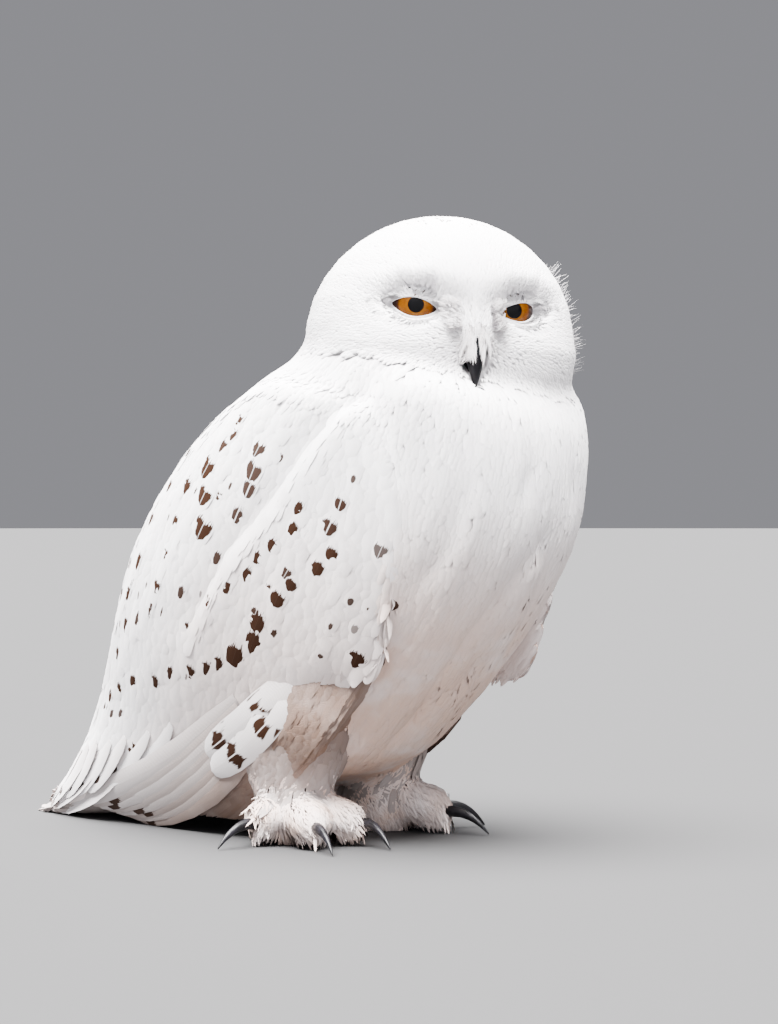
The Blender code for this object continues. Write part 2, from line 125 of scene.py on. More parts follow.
# Rows of marked feathers on each side of the body: the level and the angle round the body from
# the back where a row begins and ends, how many feathers it has, the mark's width and length in
# mm, how wide the white shaft in it is, how far it is a chevron, and how dark it shows.
MARK_ROWS = (
    (4.0, 99, 6.15, 84, 9, 4.8, 8.0, 0.0, 0.2, 1.0),
    (3.8, 108, 4.2, 108, 2, 6.5, 8.0, 0.08, 0.5, 0.95),
    (4.45, 111, 5.35, 102, 4, 6.0, 7.5, 0.0, 0.2, 1.0),
    (4.9, 103, 5.6, 99, 3, 5.0, 6.0, 0.05, 0.3, 0.9),
    (5.8, 102, 6.35, 98.5, 3, 9.0, 15.0, 0.0, 0.3, 1.0),
    (6.5, 93, 6.85, 87, 3, 6.5, 10.0, 0.0, 0.2, 1.0),
    (6.95, 81, 7.8, 51, 5, 4.4, 8.5, 0.0, 0.2, 1.0),
    (9.35, 57, 9.15, 72, 2, 7.0, 13.0, 0.05, 0.5, 1.0),
    (8.8, 78, 8.6, 78, 2, 6.0, 8.0, 0.0, 0.2, 1.0),
    (8.2, 48, 8.1, 63, 3, 3.0, 8.0, 0.0, 0.3, 0.8),
    (7.5, 36, 8.3, 30, 3, 4.5, 9.0, 0.05, 0.6, 1.0),
    (5.1, 120, 5.95, 120, 3, 2.6, 4.0, 0.0, 0.3, 0.8),
    (3.65, 121, 4.35, 123, 2, 7.0, 8.0, 0.05, 0.6, 0.6),
    (5.45, 132.5, 5.92, 132.5, 2, 9.0, 10.0, 0.0, 0.1, 1.0),
    (2.5, 111, 3.35, 108, 2, 2.6, 4.5, 0.0, 0.2, 0.8),
    (3.25, 81, 3.6, 84, 2, 6.5, 10.5, 0.05, 1.1, 0.9),
    (3.9, 84, 4.3, 84, 2, 5.0, 10.0, 0.1, 0.6, 0.9),
    (3.75, 66, 4.65, 78, 3, 8.5, 11.0, 0.04, 1.1, 1.0),
    (2.85, 66, 3.4, 69, 3, 4.0, 8.5, 0.0, 0.9, 0.95),
    (4.1, 63, 5.65, 66, 4, 4.0, 8.5, 0.0, 0.8, 1.0),
    (5.0, 84, 5.6, 78, 2, 4.0, 9.0, 0.0, 0.3, 0.9),
    (6.0, 66, 6.4, 64, 2, 3.0, 14.0, 0.0, 0.2, 0.9),
    (2.2, 30, 6.6, 36, 9, 4.5, 9.0, 0.05, 0.8, 1.0),
    (2.6, 46, 4.7, 46, 5, 4.5, 8.5, 0.0, 0.9, 1.0),
    (5.4, 50, 7.0, 52, 4, 4.0, 10.0, 0.0, 0.5, 1.0),
    (2.0, 10, 7.2, 14, 10, 4.5, 9.0, 0.05, 0.8, 1.0),
)
MARK_SEEDS = {"right": 5, "left": 6}
# The share of marked feathers that have a smaller one beside them
BESIDE = 0.22
# How far along its feather a mark's middle is
MARK_ALONG = 0.72

# Folds of the plumage on each side, as lines on the body: (level, angle) along the line, the
# valley's depth and how far its two banks reach, in mm, and how far the second bank stands up.
FOLDS = (
    (
        ((1.5, 106), (2.1, 99), (3.15, 93), (4.25, 90), (4.9, 87), (5.6, 86), (6.3, 84)),
        *(4.2, 13.0, 2.6, 1.8),
    ),
    (((2.6, 171), (3.2, 169), (3.7, 167)), 3.0, 7.0, 5.0, 0.8),
    (((3.7, 183), (4.7, 174), (5.5, 168), (6.4, 167), (7.4, 172)), 2.6, 8.0, 4.0, 1.2),
    (((5.6, 146), (6.2, 141), (6.6, 136), (7.1, 131)), 2.6, 8.0, 3.5, 1.2),
    (((5.9, 152), (6.6, 149), (7.3, 147), (8.0, 144)), 2.2, 7.0, 3.5, 1.0),
    (((5.75, 189), (6.35, 176), (7.1, 168), (7.9, 163)), 2.4, 7.0, 3.5, 1.0),
    (((3.0, 146), (3.7, 145), (4.4, 144), (5.1, 137)), 1.6, 10.0, 5.0, 0.8),
    (((6.2, 128), (6.7, 130), (7.3, 126), (8.0, 119), (8.8, 124)), 2.6, 7.0, 3.0, 1.4),
)
# How far from its ends a fold fades out, how far out its bank is highest, and the least and the
# greatest height of the folds, in mm
FOLD_FADE, FOLD_BANK, FOLD_RANGE = 22, 7, (-5, 3)

# Lines that the long feathers of the right flank follow, from the back one to the front one
FLANK_LINES = (
    ((74, 26, 112), (80, 2, 86), (73, -30, 60), (60, -66, 38), (48, -108, 14)),
    ((72, 44, 108), (80, 18, 74), (74, -12, 48), (60, -48, 28), (48, -90, 8)),
    ((60, 62, 106), (74, 42, 70), (71, 18, 46), (62, -12, 27), (50, -50, 8)),
    ((40, 72, 108), (50, 52, 80), (50, 34, 57), (46, 12, 40), (40, -6, 28)),
)
# How far inside its mirrored place each of them runs on the left, where the leg is further in
INWARD_ON_LEFT = (20, 21, 24, 27)

# Paths of the long feathers of the right wing: the uppermost and the lowest primary, and the
# secondaries that hang outside the thigh
PRIMARY_TOP = (
    *((76, -25, 84), (69, -58, 63), (60, -94, 44)),
    *((53, -128, 31), (45, -160, 20), (37, -188, 11)),
)
PRIMARY_LOW = (
    *((74, -20, 50), (67, -45, 34), (58, -72, 21)),
    *((51, -98, 12), (45, -122, 7), (40, -142, 5)),
)
PRIMARIES = 8
SECONDARIES = (
    ((74, 24, 104), (81, 6, 88), (81, -12, 74), (75, -36, 61), (68, -58, 50)),
    ((76, 22, 90), (82, 5, 75), (80, -12, 61), (74, -34, 49), (68, -54, 40)),
)
# Level and angle where each tertial begins and ends
TERTIALS = (
    (7.6, 93, 9.0, 92),
    (7.9, 86, 9.4, 89),
    (8.2, 80, 9.8, 86),
    (8.5, 73, 10.2, 82),
    (8.7, 66, 10.5, 77),
    (8.9, 58, 10.8, 71),
    (9.1, 50, 11.1, 64),
)
TAIL_FEATHERS = 12
FLANK_FEATHERS = 1500
# Tufts along the edge of a lid and over the rest of it
LID_TUFTS = (170, 2300)
# Groups of bristles: number a side, how far out and up they start and how far out and up they
# go, from the least to the most in mm, and their arch and how far they stand off
BRISTLES = (
    (330, (0.6, 5.0), (-1, 9), (2.0, 6.0), (-20, -11), 1.5, 2.0),
    (460, (1.5, 9.0), (-5, 9), (9, 19), (-14, -3), 4.0, 2.0),
    (300, (3.0, 8.0), (-3, 8), (-3.0, -0.6), (-15, -9), 1.0, 1.6),
    (240, (0.3, 7.0), (4, 14), (1, 9), (3, 9), 0.0, 2.0),
    (380, (8.5, 15.0), (1, 17), (3, 6), (1, 6), 0.0, 8.5),
)
STRAY_HAIRS = 110

# Shapes of feathers: shares of the length where their rings are, and the width at each
FINE = ((0.0, 0.5, 0.84, 1.0), (0.6, 1.0, 0.6, 0.0))
SOFT = ((0.0, 0.33, 0.66, 0.88, 1.0), (0.6, 1.0, 0.98, 0.62, 0.0))
SILKY = (SOFT[0], (0.6, 1.0, 0.74, 0.36, 0.0))
BROAD = ((0.0, 0.3, 0.6, 0.82, 0.94, 1.0), (0.5, 0.92, 1.0, 0.86, 0.52, 0.0))
LONG = (
    (0.0, 0.15, 0.35, 0.55, 0.72, 0.85, 0.93, 0.98, 1.0),
    (0.5, 0.85, 1.0, 1.0, 0.98, 0.88, 0.7, 0.42, 0.0),
)
# What a feather looks like where nothing else is said
USUAL_LOOKS = {
    "tint": 0.5,
    "cream": 0.0,
    "bars": 0.0,
    "mark_size": (0.7, 0.3, 0.5),
    "mark_form": (0.0, 0.0, 0.0),
}
# One wave of a sine
WAVE = 6.28
# How high over the skin a feather's root stands, as a share of the coat's depth
ROOT_HEIGHT = 0.1
# The eyes or the bill block a feather from this far ahead of it, or this near to its root
BLOCKED_AHEAD, BLOCKED_NEAR = 0.014, 0.0007
# How high up the shoulders, the breast and the fronts of the wings' bends begin or end
SHOULDER_UP, BREAST_UP, BEND_UP = 0.215, 0.17, 0.19

CAMERA_PLACE = (-1.2427, -1.0510, 0.193)
CAMERA_WAY = Vector((0.78801, 0.61566, 0))
# Where both lights are aimed
LIT = Vector((0, -0.05, 0.18))


class CoatSizes(bpy.types.PropertyGroup):
    """Sizes of the feathers"""

    face_length: FloatProperty(
        name="Face tuft length", description="Face and, longer, nape", default=0.0075, unit="LENGTH"
    )
    face_spacing: FloatProperty(
        name="Face tuft spacing", description="Between tufts of the face", default=0.0011, unit="LENGTH"
    )
    nape_spacing: FloatProperty(
        name="Nape tuft spacing", description="Back of the head", default=0.0016, unit="LENGTH"
    )
    breast_length: FloatProperty(
        name="Breast feather length", description="Neck, breast and belly", default=0.016, unit="LENGTH"
    )
    breast_spacing: FloatProperty(
        name="Breast feather spacing", description="Neck to belly", default=0.0024, unit="LENGTH"
    )
    wing_length: FloatProperty(
        name="Covert length", description="Back and wing coverts", default=0.019, unit="LENGTH"
    )
    wing_spacing: FloatProperty(
        name="Covert spacing", description="Back and wing coverts", default=0.0038, unit="LENGTH"
    )
    foot_length: FloatProperty(
        name="Foot tuft length", description="Feet and toes", default=0.0085, unit="LENGTH"
    )
    foot_spacing: FloatProperty(
        name="Foot tuft spacing", description="Feet and toes", default=0.0010, unit="LENGTH"
    )


class OwlColours(bpy.types.PropertyGroup):
    """Colours of the plumage, eyes and horn"""

    white: FloatVectorProperty(
        name="White", description="Most of the plumage", default=(0.92, 0.90, 0.915), subtype="COLOR"
    )
    # The underparts' cream stain, its hue taken from the shaded belly, so partly painted shade
    cream: FloatVectorProperty(
        name="Cream", description="Underparts and feet", default=(0.66, 0.44, 0.335), subtype="COLOR"
    )
    # Shaded tan: cream deepened into painted shade, for the flanks, thighs, flight feathers and tail
    # under the wing
    tan: FloatVectorProperty(
        name="Tan", description="Flanks and quills", default=(0.150, 0.096, 0.072), subtype="COLOR"
    )
    # Painted shade: the lilac grey laid toward the feathers' roots, along their barbs and in the down
    shade: FloatVectorProperty(
        name="Down", description="Feathers' roots", default=(0.60, 0.55, 0.58), subtype="COLOR"
    )
    brown: FloatVectorProperty(
        name="Brown", description="Bars and spots", default=(0.024, 0.0098, 0.0048), subtype="COLOR"
    )
    amber: FloatVectorProperty(
        name="Amber", description="Iris", default=(0.125, 0.034, 0.0006), subtype="COLOR"
    )
    horn: FloatVectorProperty(
        name="Horn", description="Bill and claws", default=(0.0022, 0.002, 0.0028), subtype="COLOR"
    )


class StageLook(bpy.types.PropertyGroup):
    """Floor, light and camera"""

    floor: FloatVectorProperty(
        name="Floor", description="Colour of the floor", default=(0.034, 0.034, 0.0355), subtype="COLOR"
    )
    key_strength: FloatProperty(
        name="Key light", description="Main light in watts per square metre", default=59
    )
    fill_strength: FloatProperty(
        name="Fill light", description="Fill light in watts per square metre", default=2.0
    )
    sky: FloatProperty(
        name="Surrounding light", description="Strength of the light all round", default=0.58
    )
    lens: FloatProperty(name="Focal length", description="Camera lens", default=93.94, unit="CAMERA")


# ---------------------------------------------------------------- arrays


def unit(vectors):
    """The same vectors at length one."""
    return vectors / np.maximum(np.linalg.norm(vectors, axis=-1, keepdims=True), 1e-12)


def dot(a, b):
    return (a * b).sum(-1, keepdims=True)


def along_surface(vectors, normals):
    """The part of each vector that lies along the surface, at length one."""
    return unit(vectors - normals * dot(vectors, normals))


def ease(low, high, values):
    """0 at low, 1 at high and a smooth step between; high may be the lower one."""
    share = np.clip((values - low) / (high - low), 0, 1)
    return share * share * (3 - 2 * share)


def moved(matrix, points):
    """Points of an array through a matrix."""
    m = np.array(matrix)
    return points @ m[:3, :3].T + m[:3, 3]


def turned(matrix, vectors):
    """Directions of an array through a matrix, at length one."""
    return unit(vectors @ np.array(matrix)[:3, :3].T)


def spline(rows, i, t):
    """Places on the smooth curve through rows of numbers, at shares t of the way on from row i."""
    a, b, c, d = (rows[np.clip(i + k, 0, len(rows) - 1)] for k in (-1, 0, 1, 2))
    second, third = 2 * a - 5 * b + 4 * c - d, 3 * b - a - 3 * c + d
    return 0.5 * (2 * b + (c - a) * t + second * t**2 + third * t**3)


def read(items, key, width=1, kind=float):
    """A mesh's values as an array, in rows of the width."""
    values = np.empty(len(items) * width, kind)
    items.foreach_get(key, values)
    return values.reshape(-1, width) if width > 1 else values


def note(mesh, name, values):
    """Writes a whole number, a number or a vector for each of a mesh's points."""
    values = np.asarray(values)
    whole, single = values.dtype.kind == "i", values.ndim == 1
    kind = "INT" if whole else "FLOAT" if single else "FLOAT_VECTOR"
    data = mesh.attributes.new(name, kind, "POINT").data
    data.foreach_set("value" if single else "vector", values.astype("i4" if whole else "f4").ravel())


# ---------------------------------------------------------------- the owl's own frames


def centre_of(node):
    low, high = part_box(node)
    return (low + high) / 2


def head_frame():
    """From head millimetres to the frame, found from where the two eyes are."""
    right_eye, left_eye = centre_of("eye_right"), centre_of("eye_left")
    right = (right_eye - left_eye).normalized()
    up = (Vector((0, 0, 1)) - right * right.z).normalized()
    forward = up.cross(right)
    middle = (right_eye + left_eye) / 2
    origin = middle - forward * EYE_IN_HEAD.y * MM - up * EYE_IN_HEAD.z * MM
    matrix = Matrix((right, forward, up)).transposed().to_4x4() @ Matrix.Scale(MM, 4)
    return Matrix.Translation(origin) @ matrix


HEAD_FRAME = head_frame()
OWL_X = centre_of("tail").x
OWL_Y = HEAD_FRAME.translation.y + HEAD_FORWARD


def in_head(points):
    """Places in head millimetres."""
    return moved(HEAD_FRAME.inverted(), points)


def eye_frame(side):
    """From an eye's own millimetres, looking along +Y with Z up, to the frame."""
    mirror = MIRROR[side]
    place = Matrix.Translation((EYE_IN_HEAD.x * mirror, EYE_IN_HEAD.y, EYE_IN_HEAD.z))
    turn = Matrix.Rotation(math.radians(-EYE_TURN * mirror), 4, "Z")
    slant = Matrix.Rotation(math.radians(-LID_SLANT * mirror), 4, "Y")
    return HEAD_FRAME @ place @ turn @ slant


def owl_points(rows, side):
    """Owl millimetres, given for the right side, as places in the frame on either side."""
    right, forward, up = np.array(rows, float).T
    return np.stack([OWL_X - right * MIRROR[side] * MM, OWL_Y - forward * MM, up * MM], -1)


def body_outline(level, angle):
    """Points of the body's outline at levels, at angles in degrees from the back to the right."""
    level = np.asarray(level, float)
    angle = np.radians(np.asarray(angle, float))
    i = np.clip(level.astype(int), 0, len(BODY_LEVELS) - 2)
    row = spline(BODY_LEVELS, i, (level - i)[..., None])
    back, breast, half = row[..., 0:2], row[..., 2:4], row[..., 4]
    s, c = (np.sign(v) * np.abs(v) ** (2 / BODY_FULLNESS) for v in (np.sin(angle), np.cos(angle)))
    middle = (back + breast) / 2 + (back - breast) / 2 * c[..., None]
    return np.stack([OWL_X - half * s * MM, OWL_Y - middle[..., 0] * MM, middle[..., 1] * MM], -1)


def outward_track(level, angle):
    """A line on the body's outline and which way it faces."""
    track = body_outline(level, angle)
    inner = (body_outline(level, 0 * angle) + body_outline(level, 0 * angle + 180)) / 2
    return track, unit(track - inner)


class BodyMap:
    """Finds the level and angle of the body that a point is nearest to."""

    def __init__(self):
        levels, angles = np.meshgrid(np.arange(0, 12.01, 0.1), np.arange(0, 360, 4.0), indexing="ij")
        self.levels, self.angles = levels.ravel(), angles.ravel()
        points = body_outline(self.levels, self.angles)
        ahead = body_outline(np.minimum(self.levels + 0.15, 12), self.angles)
        behind = body_outline(np.maximum(self.levels - 0.15, 0), self.angles)
        self.flow = unit(ahead - behind)
        self.tree = KDTree(len(points))
        for i, point in enumerate(points):
            self.tree.insert(point, i)
        self.tree.balance()

    def at(self, points):
        found = np.array([self.tree.find(point)[1] for point in points])
        return self.levels[found], self.angles[found], self.flow[found]


def mark_places(side):
    """Where one side's marked feathers are on the body, and each mark's size and form."""
    rng = np.random.default_rng(MARK_SEEDS[side])
    mirror = MIRROR[side]
    places, marks = [], []
    for l0, a0, l1, a1, count, wide, long, split, lean, dark in MARK_ROWS:
        dark = dark**0.12
        for k in range(count):
            share = k / max(count - 1, 1)
            level = l0 + (l1 - l0) * share + rng.normal(0, 0.03)
            angle = a0 + (a1 - a0) * share + rng.normal(0, 1.0)
            places.append((level, angle * mirror))
            size = rng.uniform(0.8, 1.15)
            wider = rng.uniform(1.15, 1.6) * (1.25 if lean > 0.5 else 1.0)
            marks.append((wide * size * wider, long * size * 1.2, split, lean, dark))
            if rng.random() < BESIDE:
                step = rng.choice((-1, 1)) * rng.uniform(5, 7)
                places.append((level + rng.uniform(-0.1, 0.1), (angle + step) * mirror))
                marks.append((wide * 0.5, long * 0.55, 0.0, lean, dark * rng.choice((0.8, 0.99, 0.99))))
    return body_outline(*np.array(places).T), np.array(marks)


def distance_to_line(points, line):
    """How far points are from a line of points, and the nearest place and direction on it."""
    best = np.full(len(points), np.inf)
    near, way = np.zeros_like(points), np.zeros_like(points)
    for start, end in zip(line[:-1], line[1:]):
        step = end - start
        share = np.clip((points - start) @ step / (step @ step), 0, 1)
        on = start + share[:, None] * step
        far = np.linalg.norm(points - on, axis=1)
        closer = far < best
        best[closer], near[closer], way[closer] = far[closer], on[closer], unit(step)
    return best, near, way


def fold_height(points, normals):
    """How far the folds raise or sink the plumage at each point, in mm."""
    height = np.zeros(len(points))
    for mirror in (1, -1):
        for line, depth, first, second, stand in FOLDS:
            fine = np.linspace(0, len(line) - 1, 4 * len(line))
            level, angle = (np.interp(fine, range(len(line)), column) for column in np.array(line).T)
            track = body_outline(level, angle * mirror)
            far, near, way = distance_to_line(points, track)
            far = far / MM
            side = np.sign(dot(np.cross(way, points - near), normals)[:, 0]) * mirror
            ends = np.min([np.linalg.norm(points - track[k], axis=1) for k in (0, -1)], axis=0)
            valley = -depth * np.exp(-((far / np.where(side > 0, second, first)) ** 2))
            bank = np.where(side > 0, stand * (far / FOLD_BANK) * np.exp(1 - far / FOLD_BANK), 0)
            height += (valley + bank) * ease(0, FOLD_FADE * MM, ends)
    return np.clip(height, *FOLD_RANGE)


def along_path(rows, stations):
    """Points at shares of the length of a path through rows of points, smoothly."""
    rows = np.array(rows, float)
    fine = np.linspace(0, len(rows) - 1, 40)
    i = np.clip(fine.astype(int), 0, len(rows) - 2)
    track = spline(rows, i, (fine - i)[:, None])
    far = np.concatenate([[0], np.cumsum(np.linalg.norm(np.diff(track, axis=0), axis=1))])
    wanted = np.array(stations) * far[-1]
    return np.stack([np.interp(wanted, far, track[:, k]) for k in range(3)], -1)


# ---------------------------------------------------------------- meshes and objects


def linked(name, data):
    """A new object in the scene."""
    made = bpy.data.objects.new(name, data)
    bpy.context.scene.collection.objects.link(made)
    return made


def deselect_all():
    bpy.ops.object.select_all(action="DESELECT")


def activate(*objects):
    deselect_all()
    for obj in objects:
        obj.select_set(True)
    bpy.context.view_layer.objects.active = objects[0]


def edit_whole(obj, *steps):
    """Runs mesh tools with their settings on all of an object's mesh."""
    activate(obj)
    bpy.ops.object.mode_set(mode="EDIT")
    bpy.ops.mesh.select_all(action="SELECT")
    for tool, settings in steps:
        tool(**settings)
    bpy.ops.object.mode_set(mode="OBJECT")


def copied(node, name):
    """A merged copy of a solid's mesh as a new object."""
    made = linked(name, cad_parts[node].data.copy())
    made.data.materials.clear()
    merge = (bpy.ops.mesh.remove_doubles, {"threshold": 0.00002})
    edit_whole(made, merge, (bpy.ops.mesh.normals_make_consistent, {"inside": False}))
    return made


def joined(objects):
    activate(*objects)
    bpy.ops.object.join()
    return objects[0]


def apply_modifier(obj, kind, **settings):
    activate(obj)
    modifier = obj.modifiers.new(kind.title(), kind)
    for key, value in settings.items():
        setattr(modifier, key, value)
    bpy.ops.object.modifier_apply(modifier=modifier.name)


def mesh_tree(nodes):
    """One search tree over several solids, and which solid each face belongs to."""
    points, faces, owner = [], [], []
    for i, node in enumerate(nodes):
        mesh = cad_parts[node].data
        start = len(points)
        points += [v.co.copy() for v in mesh.vertices]
        faces += [[start + v for v in p.vertices] for p in mesh.polygons]
        owner += [i] * len(mesh.polygons)
    return BVHTree.FromPolygons(points, faces), np.array(owner)


def keep_largest(obj):
    """Removes the small closed bubbles that the remesh leaves inside."""
    bm = bmesh.new()
    bm.from_mesh(obj.data)
    seen, islands = set(), []
    for vert in bm.verts:
        if vert in seen:
            continue
        seen.add(vert)
        stack, island = [vert], []
        while stack:
            v = stack.pop()
            island.append(v)
            others = {edge.other_vert(v) for edge in v.link_edges} - seen
            seen |= others
            stack += others
        islands.append(island)
    islands.sort(key=len)
    for island in islands[:-1]:
        bmesh.ops.delete(bm, geom=island, context="VERTS")
    bm.to_mesh(obj.data)
    bm.free()


def smoothed(values, edges, rounds):
    """Values at points, each evened out with its neighbours'."""
    count = len(values)
    degree = np.maximum(np.bincount(edges.ravel(), minlength=count), 1).astype(float)
    columns = values.reshape(count, -1).astype(float)
    for _ in range(rounds):
        mean = np.empty_like(columns)
        for c, column in enumerate(columns.T):
            total = np.bincount(edges[:, 0], column[edges[:, 1]], count)
            total += np.bincount(edges[:, 1], column[edges[:, 0]], count)
            mean[:, c] = total / degree
        columns = 0.5 * columns + 0.5 * mean
    return columns.reshape(values.shape)


# ---------------------------------------------------------------- the skin


class Skin:
    """The finished skin as arrays, for rooting feathers on it."""

    def __init__(self, obj):
        mesh = obj.data
        mesh.calc_loop_triangles()
        self.points = read(mesh.vertices, "co", 3)
        self.normals = read(mesh.vertices, "normal", 3)
        self.tris = read(mesh.loop_triangles, "vertices", 3, int)
        loops = read(mesh.loop_triangles, "loops", 3, int)
        self.uv = read(mesh.uv_layers["OFBake"].uv, "vector", 2)[loops]
        ends = self.points[self.tris]
        across = np.cross(ends[:, 1] - ends[:, 0], ends[:, 2] - ends[:, 0])
        self.areas = np.linalg.norm(across, axis=1) / 2
        self.middles = ends.mean(1)
        self.facing = self.normals[self.tris].mean(1)
        self.tree = BVHTree.FromPolygons(self.points.tolist(), self.tris.tolist())
        self.part = np.max(read(mesh.attributes["part"].data, "value", kind=int)[self.tris], axis=1)
        self.depth = read(mesh.attributes["sunk"].data, "value")[self.tris].mean(1)

    def scatter(self, chosen, spacing, rng):
        """Roots spread evenly over the chosen triangles."""
        faces = np.nonzero(chosen)[0]
        areas = self.areas[faces]
        count = int(areas.sum() / spacing**2 * 5)
        pick = faces[rng.choice(len(faces), count, p=areas / areas.sum())]
        a, b = rng.random(count), rng.random(count)
        over = a + b > 1
        a[over], b[over] = 1 - a[over], 1 - b[over]
        share = np.stack([1 - a - b, a, b], -1)[..., None]
        points = (self.points[self.tris[pick]] * share).sum(1)
        # one root for each cell of a slanting grid, so that no rows show
        mixing = np.array(Matrix.Rotation(1.1, 3, "X") @ Matrix.Rotation(0.7, 3, "Y"))
        cells = np.floor(points @ mixing.T / (spacing * 1.22)).astype(int)
        _, first = np.unique(cells, axis=0, return_index=True)
        first = first[rng.permutation(len(first))]
        normals = unit((self.normals[self.tris[pick]] * share).sum(1)[first])
        uv, faces = (self.uv[pick] * share).sum(1)[first], pick[first]
        return Roots(points[first], normals, uv, self.part[faces], self.depth[faces])

    def found(self, points):
        """The skin's nearest places to the points, their faces and how far they are."""
        places, _, faces, far = zip(*(self.tree.find_nearest(point) for point in points))
        return np.array(places), np.array(faces), np.array(far)

    def under(self, points):
        """Roots at the places of the skin nearest to the points."""
        places, faces, _ = self.found(points)
        uv = self.uv[faces].mean(1)
        return Roots(places, unit(self.facing[faces]), uv, self.part[faces], self.depth[faces])

    def nearest(self, points, like):
        """The nearest points, normals and coat's depth, where the skin faces the same way as like."""
        on, faces, _ = self.found(points)
        normals = unit(self.facing[faces])
        far = (dot(normals, like)[:, 0] < 0.2) | (np.linalg.norm(on - points, axis=1) > 0.012)
        on[far] = points[far]
        normals[far] = like[far]
        return on, normals, self.depth[faces]


class Roots:
    """Where feathers grow: places, normals, places on the unwrap, parts of the body, coat's depth."""

    def __init__(self, *columns):
        self.columns = columns
        self.points, self.normals, self.uv, self.part, self.depth = columns

    def __len__(self):
        return len(self.points)

    def keep(self, chosen):
        return Roots(*(column[chosen] for column in self.columns))


def sink_under_coat(obj, flesh_tree, owner):
    """Moves the skin in by the coat's depth, folds it, and notes each point's part of the body."""
    mesh = obj.data
    points, normals = read(mesh.vertices, "co", 3), read(mesh.vertices, "normal", 3)
    edges = read(mesh.edges, "vertices", 2, int)
    count = len(points)
    part = np.array([owner[flesh_tree.find_nearest(p)[2]] for p in points])
    depth = np.array(COAT_DEPTH)[part] * MM
    tree = BVHTree.FromPolygons(points.tolist(), [tuple(p.vertices) for p in mesh.polygons])
    # no deeper than part of the way through where the body is thin
    room = np.full(count, 1.0)
    for i in range(count):
        hit = tree.ray_cast(Vector(points[i] - normals[i] * 0.0002), Vector(-normals[i]), 0.04)
        if hit[0] is not None:
            room[i] = hit[3]
    depth = smoothed(np.minimum(depth, room * 0.3), edges, 12)
    depth = np.minimum(depth, room * 0.38)
    # the borders between the upper parts of the body are evened out
    between = part[edges[:, 0]] != part[edges[:, 1]]
    border = np.zeros(count)
    border[edges[between].ravel()] = 1
    forward, up = (OWL_Y - points[:, 1]) / MM, points[:, 2]
    high = np.maximum(ease(0.14, 0.18, up), ease(35, 60, forward) * ease(0.08, 0.10, up))
    border = np.clip(smoothed(border, edges, 10) * 4, 0, 1) * high
    points = points + (smoothed(points, edges, 16) - points) * border[:, None] * 0.9
    # creases are filled, and then the folds are laid in
    body = ~np.isin(part, (HEAD, FOOT_R, FOOT_L))
    creases = dot(smoothed(points, edges, 40) - points, normals)[:, 0]
    fill = np.where(body, 0.95, np.where((part == HEAD) & (in_head(points)[:, 2] < -28), 0.8, 0.0))
    fill = smoothed(fill * np.clip(creases, 0, 0.006), edges, 5)
    folds = np.zeros(count)
    folds[body] = fold_height(points[body], normals[body]) * MM
    folds = smoothed(folds, edges, 2)
    points = points + normals * (fill + folds - depth)[:, None]
    points = points * 0.4 + smoothed(points, edges, 2) * 0.6
    points[:, 2] = np.maximum(points[:, 2], SKIN_FLOOR)
    mesh.vertices.foreach_set("co", points.ravel())
    note(mesh, "part", part)
    note(mesh, "sunk", depth)
    mesh.update()


def lid_outline(angle, scale):
    """Points of the almond opening between the lids, in an eye's own millimetres."""
    along, rise = np.cos(angle), np.sin(angle)
    half, over, below = LID_OPENING
    height = np.where(rise > 0, over, below) * rise * (1 - 0.35 * along * along)
    return half * scale * along, height * scale


def brow_limit(x, z):
    """How far forward the brow may come over an eye, in its own mm, and how much that counts."""
    half, over, _ = LID_OPENING
    limit = math.sqrt(EYE_RADIUS**2 - min(abs(x), half) ** 2) - 0.5 + 0.36 * (z - over)
    return limit, float(ease(15, 8, abs(x)) * ease(0, 3, z) * ease(25, 9, z))


class Lids:
    """The lids' surface round one eye, from the rim outwards."""

    def __init__(self, side, flesh_tree):
        self.to_frame = eye_frame(side)
        to_eye = self.to_frame.inverted()
        self.angles = np.linspace(0, 2 * math.pi, 49)
        self.scales = np.linspace(0.9, 2.3, 15)
        back = (self.to_frame.to_3x3() @ Vector((0, -1, 0))).normalized()
        self.table = np.zeros((len(self.angles), len(self.scales)))
        for i, angle in enumerate(self.angles):
            for j, scale in enumerate(self.scales):
                x, z = (float(v) for v in lid_outline(angle, scale))
                spread = min(math.hypot(x, z), 14.6)
                over_eye = math.sqrt(EYE_RADIUS**2 - spread**2) * (1 + 0.9 / EYE_RADIUS)
                hit = flesh_tree.ray_cast(self.to_frame @ Vector((x, 32, z)), back)
                y = over_eye
                # from the eyeball at the rim out to the flesh, and under the brow
                if hit[0] is not None:
                    found = (to_eye @ hit[0]).y
                    flesh = min(max(found - 1.2, over_eye - 1), over_eye + 9)
                    y = over_eye + (flesh - over_eye) * float(ease(1.04, 1.4, scale))
                    brow, near = brow_limit(x, z)
                    y -= max(0.0, y - max(brow - 0.8, over_eye)) * near
                self.table[i, j] = y

    def at(self, angle, scale, height=0.0):
        """Places on the lids at angles round the eye and shares of the opening's size."""
        angle = np.mod(np.asarray(angle, float), 2 * math.pi)
        scale = np.asarray(scale, float)
        i = angle / (2 * math.pi) * (len(self.angles) - 1)
        j = (np.clip(scale, 0.9, 2.29) - 0.9) / (self.scales[1] - self.scales[0])
        i0, j0 = (np.minimum(v.astype(int), n - 2) for v, n in zip((i, j), self.table.shape))
        u, v = i - i0, j - j0
        near, next_out = (
            self.table[i0, k] * (1 - u) + self.table[i0 + 1, k] * u for k in (j0, j0 + 1)
        )
        x, z = lid_outline(angle, scale)
        point = np.stack([x, near * (1 - v) + next_out * v, z], -1)
        point = point + unit(point) * np.asarray(height, float)[..., None]
        return moved(self.to_frame, point)


